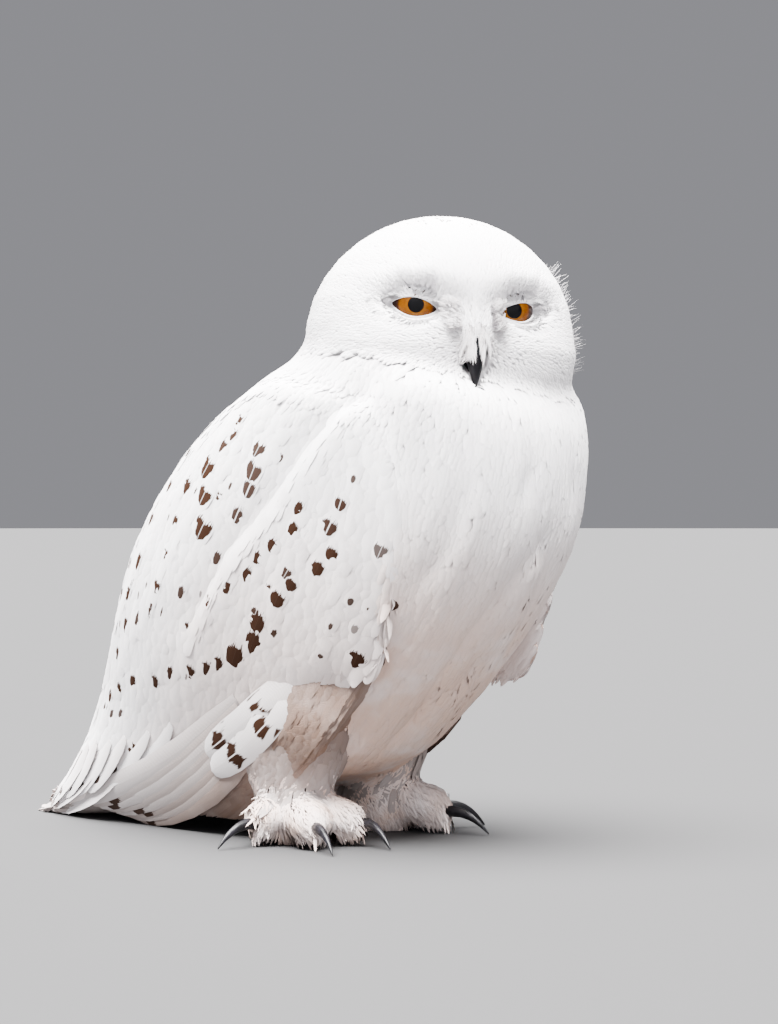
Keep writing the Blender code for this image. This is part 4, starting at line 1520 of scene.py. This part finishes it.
def front_of_face(x, z):
    """How far forward the bill or the skin reaches at places of the head, in head millimetres."""
    back = (HEAD_FRAME.to_3x3() @ Vector((0, -1, 0))).normalized()
    found = np.zeros(len(x))
    for i in range(len(x)):
        start = HEAD_FRAME @ Vector((x[i], BEFORE_FACE, z[i]))
        far = BEFORE_FACE * MM
        for tree in (Work.blockers, Work.skin.tree):
            hit = tree.ray_cast(start, back, BEFORE_FACE * MM)
            if hit[0] is not None:
                far = min(far, hit[3])
        found[i] = BEFORE_FACE - far / MM
    return found


class OWL_OT_bristles(bpy.types.Operator):
    """Bristles that arch out and down over the bill's sides, and stray hairs behind the face"""

    bl_idname = "owl.bristles"
    bl_label = "Bristles"

    def execute(self, context):
        rng = np.random.default_rng(17)
        # painted shade: the bristles carry a strong root shade, the grey between the hairs
        material = plumage("bristle_plumage", 8.0, 0.0001, 0.75)
        coat = Coat("bristles", SOFT, arch=0.3)
        for number, start_out, start_up, go_out, go_up, arch, stand in BRISTLES:
            for mirror in MIRROR.values():
                ranges = (start_out, start_up, go_out, go_up)
                out, up, reach_out, reach_up = (rng.uniform(*ends, number)[:, None] for ends in ranges)
                t = np.array(SOFT[0])[None, :]
                x = mirror * (out + reach_out * t)
                z = up + reach_up * t**1.3 + arch * 4 * t * (1 - t)
                y = front_of_face(x.ravel(), z.ravel()).reshape(x.shape)
                y = np.maximum(y, y.max(1, keepdims=True) - 12 * t - 3)
                lift = rng.uniform(0.6, 1.4, number)[:, None] * stand
                lift = 0.3 + lift * np.sin(np.pi * np.clip(t * 0.8, 0, 1))
                line = moved(HEAD_FRAME, np.stack([x, y + lift, z], -1))
                facing = np.stack([x / 26, np.ones_like(x), np.full_like(x, 0.1)], -1)
                width = rng.uniform(0.28, 0.5, number) * MM
                grey = rng.random(number) ** 2 * 0.3
                # painted shade: the roots of most bristles are darkened with brown
                form = np.zeros((number, 3))
                form[:, 2] = rng.uniform(0, 0.75, number) * (stand < 5)
                looks = {"cream": grey, "mark_size": (0.15, 0.45, 1.6), "mark_form": form}
                uv = Work.skin.under(line[:, 0]).uv
                normals = turned(HEAD_FRAME, facing)
                coat.add(line, normals, width, uv, tint=rng.random(number), **looks)
        self.stray_hairs(coat, rng)
        coat.build(material)
        return {"FINISHED"}

    def stray_hairs(self, coat, rng):
        """A few fine hairs that stand out beside the face."""
        count = STRAY_HAIRS
        ranges = ((2, 34), (-14, 44))
        place = np.stack([np.full(count, -60.0), *(rng.uniform(*ends, count) for ends in ranges)], -1)
        roots = Work.skin.under(moved(HEAD_FRAME, place))
        way = np.array((-0.35, -0.75, 0.25)) + rng.normal(0, 0.15, (count, 3))
        way = unit(turned(HEAD_FRAME, way) + roots.normals * 0.75)
        t = np.array(SOFT[0])[None, :, None]
        length = rng.uniform(0.009, 0.017, count)[:, None, None]
        line = roots.points[:, None] + roots.normals[:, None] * 0.002 + way[:, None] * length * t
        line = line - roots.normals[:, None] * length * 0.2 * t**2
        normals = np.repeat(roots.normals[:, None], line.shape[1], 1)
        width = rng.uniform(0.09, 0.16, count) * MM
        coat.add(line, normals, width, roots.uv, SILKY, tint=rng.random(count))


class OWL_OT_breast_coat(bpy.types.Operator):
    """Soft feathers over the neck, breast, belly and thighs"""

    bl_idname = "owl.breast_coat"
    bl_label = "Breast feathers"

    def execute(self, context):
        sizes, skin = context.scene.owl_sizes, Work.skin
        rng = np.random.default_rng(23)
        material = plumage("breast_plumage", 16.0, 0.00012, 0.16)
        thigh_material = plumage("thigh_plumage", 16.0, 0.00012, 0.16, "tan")
        body, wings, legs = (np.isin(skin.part, p) for p in ((NECK, TRUNK), WINGS, (LEG_R, LEG_L)))
        forward, high = OWL_Y - skin.middles[:, 1] > 0.02, skin.middles[:, 2]
        shoulder = wings & (high > SHOULDER_UP)
        shoulder[shoulder] = Work.body_map.at(skin.middles[shoulder])[0] < 2.3
        # the right wing's front edge, and the left wing's inner face beside the breast
        ahead = (skin.part == WING_R) & (skin.facing[:, 1] < -0.55)
        inward = (skin.facing[:, 0] < -0.45) & (skin.facing[:, 2] > -0.3) & (high > 0.088)
        wing_front = (ahead | (skin.part == WING_L) & inward & forward) & (high < BEND_UP)
        for name, chosen, longer in (
            ("coat_breast", body & (high > BREAST_UP) | shoulder, 1.0),
            ("coat_belly", body & ~(high > BREAST_UP) | wing_front, 1.1),
            ("coat_thighs", legs, 1.5),
        ):
            roots = unblocked(skin.scatter(chosen, sizes.breast_spacing, rng))
            # none where the trunk ends over the tail
            roots = roots.keep((OWL_Y - roots.points[:, 1] > -0.15) | (roots.points[:, 2] < 0.03))
            count, up = len(roots), roots.points[:, 2]
            flow = jittered(body_flow(roots), roots, 0.07, rng)
            size = sizes.breast_length * longer * rng.uniform(0.75, 1.2, count)
            low = (roots.part == TRUNK) & (up < 0.12) | np.isin(roots.part, WINGS) & (up < BEND_UP)
            size = size * np.where((roots.part == WING_L) & (up < 0.11), 0.5, 1.0)
            size = np.where(low, kept_on_part(roots, flow, size), size)
            line, normals = lay_coat(roots, flow, size, (0.93, 1.0), FINE, 0.06, 0.3, rng)
            width = size * rng.uniform(0.26, 0.36, count)
            cream = cream_and_low_shade(roots.points) * np.where(roots.part == WING_L, 0.35, 1.0)
            if name == "coat_thighs":
                # painted shade: the thighs are nearly all shaded tan, deepening toward their tops under
                # the belly
                cream = 0.7 + 0.2 * ease(0.04, 0.08, up) + rng.uniform(-0.03, 0.03, count)
            coat = Coat(name, FINE, arch=0.08, roundness=0.4)
            coat.add(line, normals, width, roots.uv, tint=rng.random(count), cream=cream)
            coat.build(thigh_material if name == "coat_thighs" else material)
        return {"FINISHED"}


class OWL_OT_flank_coat(bpy.types.Operator):
    """Long soft feathers that hang from the flanks over the legs"""

    bl_idname = "owl.flank_coat"
    bl_label = "Flank feathers"

    def execute(self, context):
        rng = np.random.default_rng(43)
        count = FLANK_FEATHERS
        coat = Coat("coat_flanks", SOFT, 3, 0.04, 0.18, 0.00012)
        for side in SIDES:
            lines = np.array([along_path(line, np.linspace(0, 1, 30)) for line in FLANK_LINES])
            if side == "left":
                lines[..., 0] -= np.array(INWARD_ON_LEFT)[:, None]
            lines = owl_points(lines.reshape(-1, 3), side).reshape(lines.shape)
            over = rng.uniform(0, 2.999 if side == "right" else 1.9, count)
            start = rng.uniform(0, 0.74, count)
            size = np.minimum(rng.uniform(0.26, 0.4, count), 1 - start)
            t = np.array(SOFT[0])[None, :]
            share = np.clip(start[:, None] + size[:, None] * t, 0, 1) * 28.99
            drift = np.clip(over[:, None] + rng.normal(0, 0.12, count)[:, None] * t, 0, 2.99)
            line, across, down = self.on_grid(lines, drift, share)
            normals = unit(np.cross(across, down))
            outward = owl_points([(1, 0, 0)], side)[0] - owl_points([(0, 0, 0)], side)[0]
            normals = normals * np.where(dot(normals, outward) < 0, -1, 1)
            sunk = rng.uniform(-1.1, 0.0, count)[:, None] + 1.2 * np.sin(np.pi * t) - 2.4 * t**3
            # the front ones lie deeper, under the wing's front edge
            sunk = sunk - 8 * ease(1.9, 3.0, over)[:, None]
            line = line + normals * (sunk * MM)[..., None]
            width = rng.uniform(3.6, 5.6, count) * MM
            uv = Work.skin.under(line[:, 0]).uv
            # painted shade: the flank feathers are almost wholly shaded tan, the shade under the wing
            tint, cream = rng.random(count), 0.94 + 0.06 * rng.random(count)
            coat.add(line, normals, width, uv, SILKY, tint=tint, cream=cream)
        coat.build(plumage("flank_plumage", 30.0, 0.0004, 0.2, "tan"))
        return {"FINISHED"}

    def on_grid(self, lines, over, share):
        """Places between the lines, with the directions across them and down them."""
        i, j = over.astype(int), share.astype(int)
        u, v = (over - i)[..., None], (share - j)[..., None]
        a, b, c, d = lines[i, j], lines[i, j + 1], lines[i + 1, j], lines[i + 1, j + 1]
        place = (a * (1 - v) + b * v) * (1 - u) + (c * (1 - v) + d * v) * u
        return place, (c + d - a - b) / 2, (b + d - a - c) / 2


class OWL_OT_wing_coat(bpy.types.Operator):
    """Feathers of the back and the wing coverts, with rows of brown marks"""

    bl_idname = "owl.wing_coat"
    bl_label = "Back and wing feathers"

    def execute(self, context):
        sizes, skin = context.scene.owl_sizes, Work.skin
        material = plumage("wing_plumage", 22.0, 0.00015, 0.12)
        for seed, side, part in ((31, "right", WING_R), (37, "left", WING_L)):
            rng = np.random.default_rng(seed)
            roots = unblocked(skin.scatter(skin.part == part, sizes.wing_spacing, rng))
            roots = roots.keep(roots.normals[:, 2] > -0.6)
            roots = roots.keep(roots.points[:, 1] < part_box(f"wing_{side}")[1].y - 0.010)
            # none where the primaries cover the wing, nor on its inner face or its front edge
            back = (OWL_Y - roots.points[:, 1]) / MM
            _, primary_back, primary_up = zip(*PRIMARY_TOP[::-1])
            over = roots.points[:, 2] / MM > np.interp(back, primary_back, primary_up) + 5
            roots = roots.keep((back > PRIMARY_TOP[0][1]) | over)
            ahead = (roots.normals[:, 1] < -0.7) & (roots.points[:, 2] < 0.17) & (side == "right")
            roots = roots.keep((roots.normals[:, 0] * -MIRROR[side] > -0.3) & ~ahead)
            count, level = len(roots), Work.body_map.at(roots.points)[0]
            flow = jittered(body_flow(roots), roots, 0.06, rng)
            size = sizes.wing_length * rng.uniform(0.8, 1.15, count)
            size = size * (1 + 0.03 * level + 0.7 * ease(6.8, 9.5, level) * ease(11.2, 9.9, level))
            edge = ease(0.15, 0.7, -roots.normals[:, 1]) * ease(0.18, 0.16, roots.points[:, 2])
            size = kept_on_part(roots, flow, size * (1 - 0.4 * edge))
            short = np.clip(size / sizes.wing_length / 0.75, 0.25, 1)
            spread = {"fullness": (0.86, 1.0), "swing": 0.03, "tuck": 0.2, "share": short}
            line, normals = lay_coat(roots, flow, size, profile=BROAD, rng=rng, **spread)
            width = size * rng.uniform(0.34, 0.46, count) * (1 - 0.3 * ease(6.8, 9.5, level))
            coat = Coat(f"coat_wing_{side}", BROAD, 3, 0.05, 0.25, 0.00012)
            cream = cream_and_low_shade(roots.points) * 0.5
            coat.add(line, normals, width, roots.uv, tint=rng.random(count), cream=cream)
            self.marked(coat, side)
            coat.build(material)
        return {"FINISHED"}

    def marked(self, coat, side):
        """The marked feathers, laid over the others so that their marks show whole."""
        rng = np.random.default_rng(7)
        centres, marks = mark_places(side)
        length = (17 + marks[:, 1]) * MM
        flow = Work.body_map.at(centres)[2]
        roots = Work.skin.under(centres - flow * (length * MARK_ALONG)[:, None])
        on_wing = np.isin(roots.part, WINGS)
        roots, marks, flow, length = roots.keep(on_wing), marks[on_wing], flow[on_wing], length[on_wing]
        count = len(roots)
        flow = jittered(flow, roots, 0.05, rng)
        length = kept_on_part(roots, flow, length)
        proud = rng.uniform(0.0, 0.15, count) + 0.7 * ease(0.35, 0.65, -roots.normals[:, 1])
        rise = roots.depth + proud * MM
        line, normals = lay(roots, flow, length, roots.depth * 0.4, rise, BROAD, None, 0.35)
        width = np.maximum(marks[:, 0] * MM * 1.2, 0.0085)
        half_long, half_wide = marks[:, 1] * MM / length / 2, marks[:, 0] * MM / width
        mark = np.stack([np.full(count, MARK_ALONG), half_long, half_wide], -1)
        looks = {"mark_size": mark, "mark_form": marks[:, 2:5], "cream": cream_and_low_shade(roots.points) * 0.5}
        coat.add(line, normals, width, roots.uv, tint=rng.random(count), **looks)


class OWL_OT_flight_feathers(bpy.types.Operator):
    """Primaries, barred secondaries and tertials of both wings"""

    bl_idname = "owl.flight_feathers"
    bl_label = "Flight feathers"

    def execute(self, context):
        material = plumage("flight_plumage", 60.0, 0.0002, 0.15, "tan")
        coat = Coat("flight_feathers", LONG, 7, 0.06, 0.3, 0.0003)
        top, low = np.array(PRIMARY_TOP, float), np.array(PRIMARY_LOW, float)
        for side, mirror in MIRROR.items():
            rng = np.random.default_rng(61)
            for k in range(PRIMARIES):
                share = k / (PRIMARIES - 1)
                path = top * (1 - share) + low * share
                path[:, 0] += 3.0 * (1 - share)
                facing = np.array((-0.93 * mirror, 0.05, -0.25 + 0.1 * share))
                looks = {"mark": (rng.uniform(0.72, 0.9), 0.04, 1.3), "dark": 0.97 * (k % 3 > 0)}
                # painted shade: the primaries take the shaded tan, deeper on the lower ones
                cream = 0.45 + 0.12 * (k % 2) + 0.3 * share
                long_feather(coat, owl_points(path, side), facing, 15, rng, cream, **looks)
            for k, path in enumerate(SECONDARIES):
                facing = np.array((-0.95 * mirror, 0.0, -0.15))
                path = owl_points(np.array(path, float) + np.array((1.2 - k, 0, 0)), side)
                long_feather(coat, path, facing, 20, rng, 0.25, bars=2.5 + 0.4 * k, dark=1.0)
            for k, (l0, a0, l1, a1) in enumerate(TERTIALS):
                track, facing = outward_track(np.linspace(l0, l1, 5), np.linspace(a0, a1, 5) * mirror)
                track = track + facing * (2.9 + 0.12 * k + 0.5 * (k % 2)) * MM
                mark = (rng.uniform(0.72, 0.88), 0.07, 0.5)
                long_feather(coat, track, facing[2], 14, rng, 0.08, mark=mark, dark=0.97)
        coat.build(material)
        return {"FINISHED"}


class OWL_OT_tail_feathers(bpy.types.Operator):
    """Coverts over the tail and its twelve feathers"""

    bl_idname = "owl.tail_feathers"
    bl_label = "Tail feathers"

    def execute(self, context):
        rng = np.random.default_rng(41)
        roots = Work.skin.scatter(Work.skin.part == TAIL, 0.0042, rng)
        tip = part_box("tail")[1].y
        roots = roots.keep(roots.points[:, 1] < tip - 0.016)
        count = len(roots)
        size = np.minimum(0.022 * rng.uniform(0.8, 1.15, count), tip - 0.001 - roots.points[:, 1])
        rise = roots.depth * rng.uniform(0.85, 1.0, count)
        line, normals = lay(roots, body_flow(roots), size, roots.depth * ROOT_HEIGHT, rise, BROAD)
        # painted shade: the tail and its coverts take the shaded tan
        material = plumage("tail_plumage", 40.0, 0.0002, 0.15, "tan")
        coat = Coat("coat_tail", BROAD, 3, 0.05, 0.25, 0.00012)
        cream = 0.3 + 0.4 * cream_and_low_shade(roots.points)
        coat.add(line, normals, size * 0.42, roots.uv, tint=rng.random(count), cream=cream)
        coat.build(material)
        coat = Coat("tail_feathers", LONG, 7, 0.05, 0.3, 0.0003)
        for k, angle in enumerate(np.linspace(-84, 84, TAIL_FEATHERS)):
            level = np.linspace(9.3, 11.9 - 0.25 * abs(angle) / 84, 5)
            track, facing = outward_track(level, np.full(5, angle) * (1 + 0.1 * np.linspace(0, 1, 5)))
            track = track + facing * (1.2 + 0.5 * (5.5 - abs(k - 5.5))) * MM
            mark = (0.62 + 0.1 * (k % 3), 0.07, 0.6)
            raised = facing[2] + np.array((0, 0, 0.5))
            long_feather(coat, track, raised, 17, rng, 0.25, mark=mark, dark=0.97)
        coat.build(material)
        return {"FINISHED"}


class OWL_OT_foot_coat(bpy.types.Operator):
    """Shaggy fluff over the feet and toes"""

    bl_idname = "owl.foot_coat"
    bl_label = "Foot tufts"

    def execute(self, context):
        sizes, skin = context.scene.owl_sizes, Work.skin
        rng = np.random.default_rng(53)
        material = plumage("foot_plumage", 10.0, 0.0001, 0.2)
        for side, leg, foot in (("right", LEG_R, FOOT_R), ("left", LEG_L, FOOT_L)):
            low = (skin.part == leg) & (skin.middles[:, 2] < 0.045)
            roots = skin.scatter((skin.part == foot) | low, sizes.foot_spacing, rng)
            roots = roots.keep((roots.points[:, 2] > 0.016) | (roots.normals[:, 2] > -0.8))
            count, up = len(roots), roots.points[:, 2]
            flow = jittered(body_flow(roots), roots, 0.17, rng)
            size = sizes.foot_length * rng.uniform(0.7, 1.4, count)
            line, normals = lay_coat(roots, flow, size, (0.9, 1.1), FINE, 0.16, 0.25, rng)
            # near the floor the tufts hang down instead
            out = roots.normals * np.array((1, 1, 0))
            t = np.array(FINE[0])[None, :, None]
            fall = np.minimum(size, up + 0.002)[:, None, None]
            bulge = out[:, None] * roots.depth[:, None, None] * (0.1 + 1.1 * t * (1.35 - t))
            hanging = roots.points[:, None] + bulge + np.array((0, 0, -1.0)) * fall * t
            hanging = hanging + flow[:, None] * fall * 0.25 * t
            low = ease(0.016, 0.009, up)[:, None, None]
            line = line * (1 - low) + hanging * low
            x, y, z = (roots.points * 170).T
            patches = 0.6 + 0.25 * np.sin(x + 2 * np.sin(z)) * np.sin(y * 0.8 + 1.5 * np.sin(x * 0.7))
            width = size * rng.uniform(0.12, 0.19, count)
            tint, cream = rng.random(count), patches + 0.08 * rng.random(count)
            coat = Coat(f"coat_foot_{side}", FINE, arch=0.15, roundness=0.35)
            coat.add(line, normals, width, roots.uv, tint=tint, cream=cream)
            coat.build(material)
        return {"FINISHED"}


def aimed(name, data, place, way):
    """A light or camera at a place, looking a way."""
    made = linked(name, data)
    made.location = place
    made.rotation_euler = way.to_track_quat("-Z", "Y").to_euler()
    return made


class OWL_OT_stage(bpy.types.Operator):
    """A floor, soft studio light and the camera"""

    bl_idname = "owl.stage"
    bl_label = "Stage"

    def execute(self, context):
        look = context.scene.owl_stage
        deselect_all()
        bpy.ops.mesh.primitive_circle_add(vertices=96, radius=30.0, fill_type="NGON")
        floor = context.object
        floor.name = "floor"
        f = Finish("pale_floor")
        mottle = f.noise(f.place(), 3.0, 3)
        f.set(Base_Color=f.mix(mottle * 0.2, tuple(look.floor), times(look.floor, 0.85)), Roughness=0.8)
        floor.data.materials.append(f.material)
        world = bpy.data.worlds.new("studio")
        world.use_nodes = True
        background = world.node_tree.nodes["Background"]
        background.inputs["Color"].default_value = (0.49, 0.49, 0.53, 1)
        background.inputs["Strength"].default_value = look.sky
        context.scene.world = world
        for name, place, strength, spread, tone in (
            ("key", (-0.40, -0.15, 2.6), look.key_strength, 60, (1.0, 0.985, 0.975)),
            ("fill", (-1.6, -2.2, 1.3), look.fill_strength, 80, (0.97, 0.96, 1.0)),
        ):
            light = bpy.data.lights.new(name, "SUN")
            light.energy, light.angle, light.color = strength, math.radians(spread), tone
            aimed(name, light, place, LIT - Vector(place))
        camera = bpy.data.cameras.new("camera")
        camera.sensor_fit = "VERTICAL"
        camera.sensor_height = 36
        camera.lens = look.lens
        context.scene.camera = aimed("camera", camera, CAMERA_PLACE, CAMERA_WAY)
        return {"FINISHED"}


class OWL_PT_panel(bpy.types.Panel):
    """Shows the owl's sizes, colours and stage, and a button for each step"""

    bl_idname = "OWL_PT_panel"
    bl_label = "Snowy owl"
    bl_space_type = "VIEW_3D"
    bl_region_type = "UI"
    bl_category = "Owl"

    def draw(self, context):
        for group in (context.scene.owl_sizes, context.scene.owl_colours, context.scene.owl_stage):
            box = self.layout.box()
            for key in group.__annotations__:
                box.prop(group, key)
        for operator in STEPS:
            self.layout.operator(operator.bl_idname)


STEPS = (
    OWL_OT_skin,
    OWL_OT_eyes,
    OWL_OT_bill,
    OWL_OT_claws,
    OWL_OT_head_coat,
    OWL_OT_bristles,
    OWL_OT_breast_coat,
    OWL_OT_flank_coat,
    OWL_OT_wing_coat,
    OWL_OT_flight_feathers,
    OWL_OT_tail_feathers,
    OWL_OT_foot_coat,
    OWL_OT_stage,
)
GROUPS = (("owl_sizes", CoatSizes), ("owl_colours", OwlColours), ("owl_stage", StageLook))


def register():
    for name, group in GROUPS:
        bpy.utils.register_class(group)
        setattr(bpy.types.Scene, name, PointerProperty(type=group))
    for step in STEPS:
        bpy.utils.register_class(step)
    bpy.utils.register_class(OWL_PT_panel)


def unregister():
    bpy.utils.unregister_class(OWL_PT_panel)
    for step in reversed(STEPS):
        bpy.utils.unregister_class(step)
    for name, group in reversed(GROUPS):
        delattr(bpy.types.Scene, name)
        bpy.utils.unregister_class(group)


def main():
    register()
    for step in STEPS:
        group, name = step.bl_idname.split(".")
        getattr(getattr(bpy.ops, group), name)()


if __name__ == "__main__":
    main()
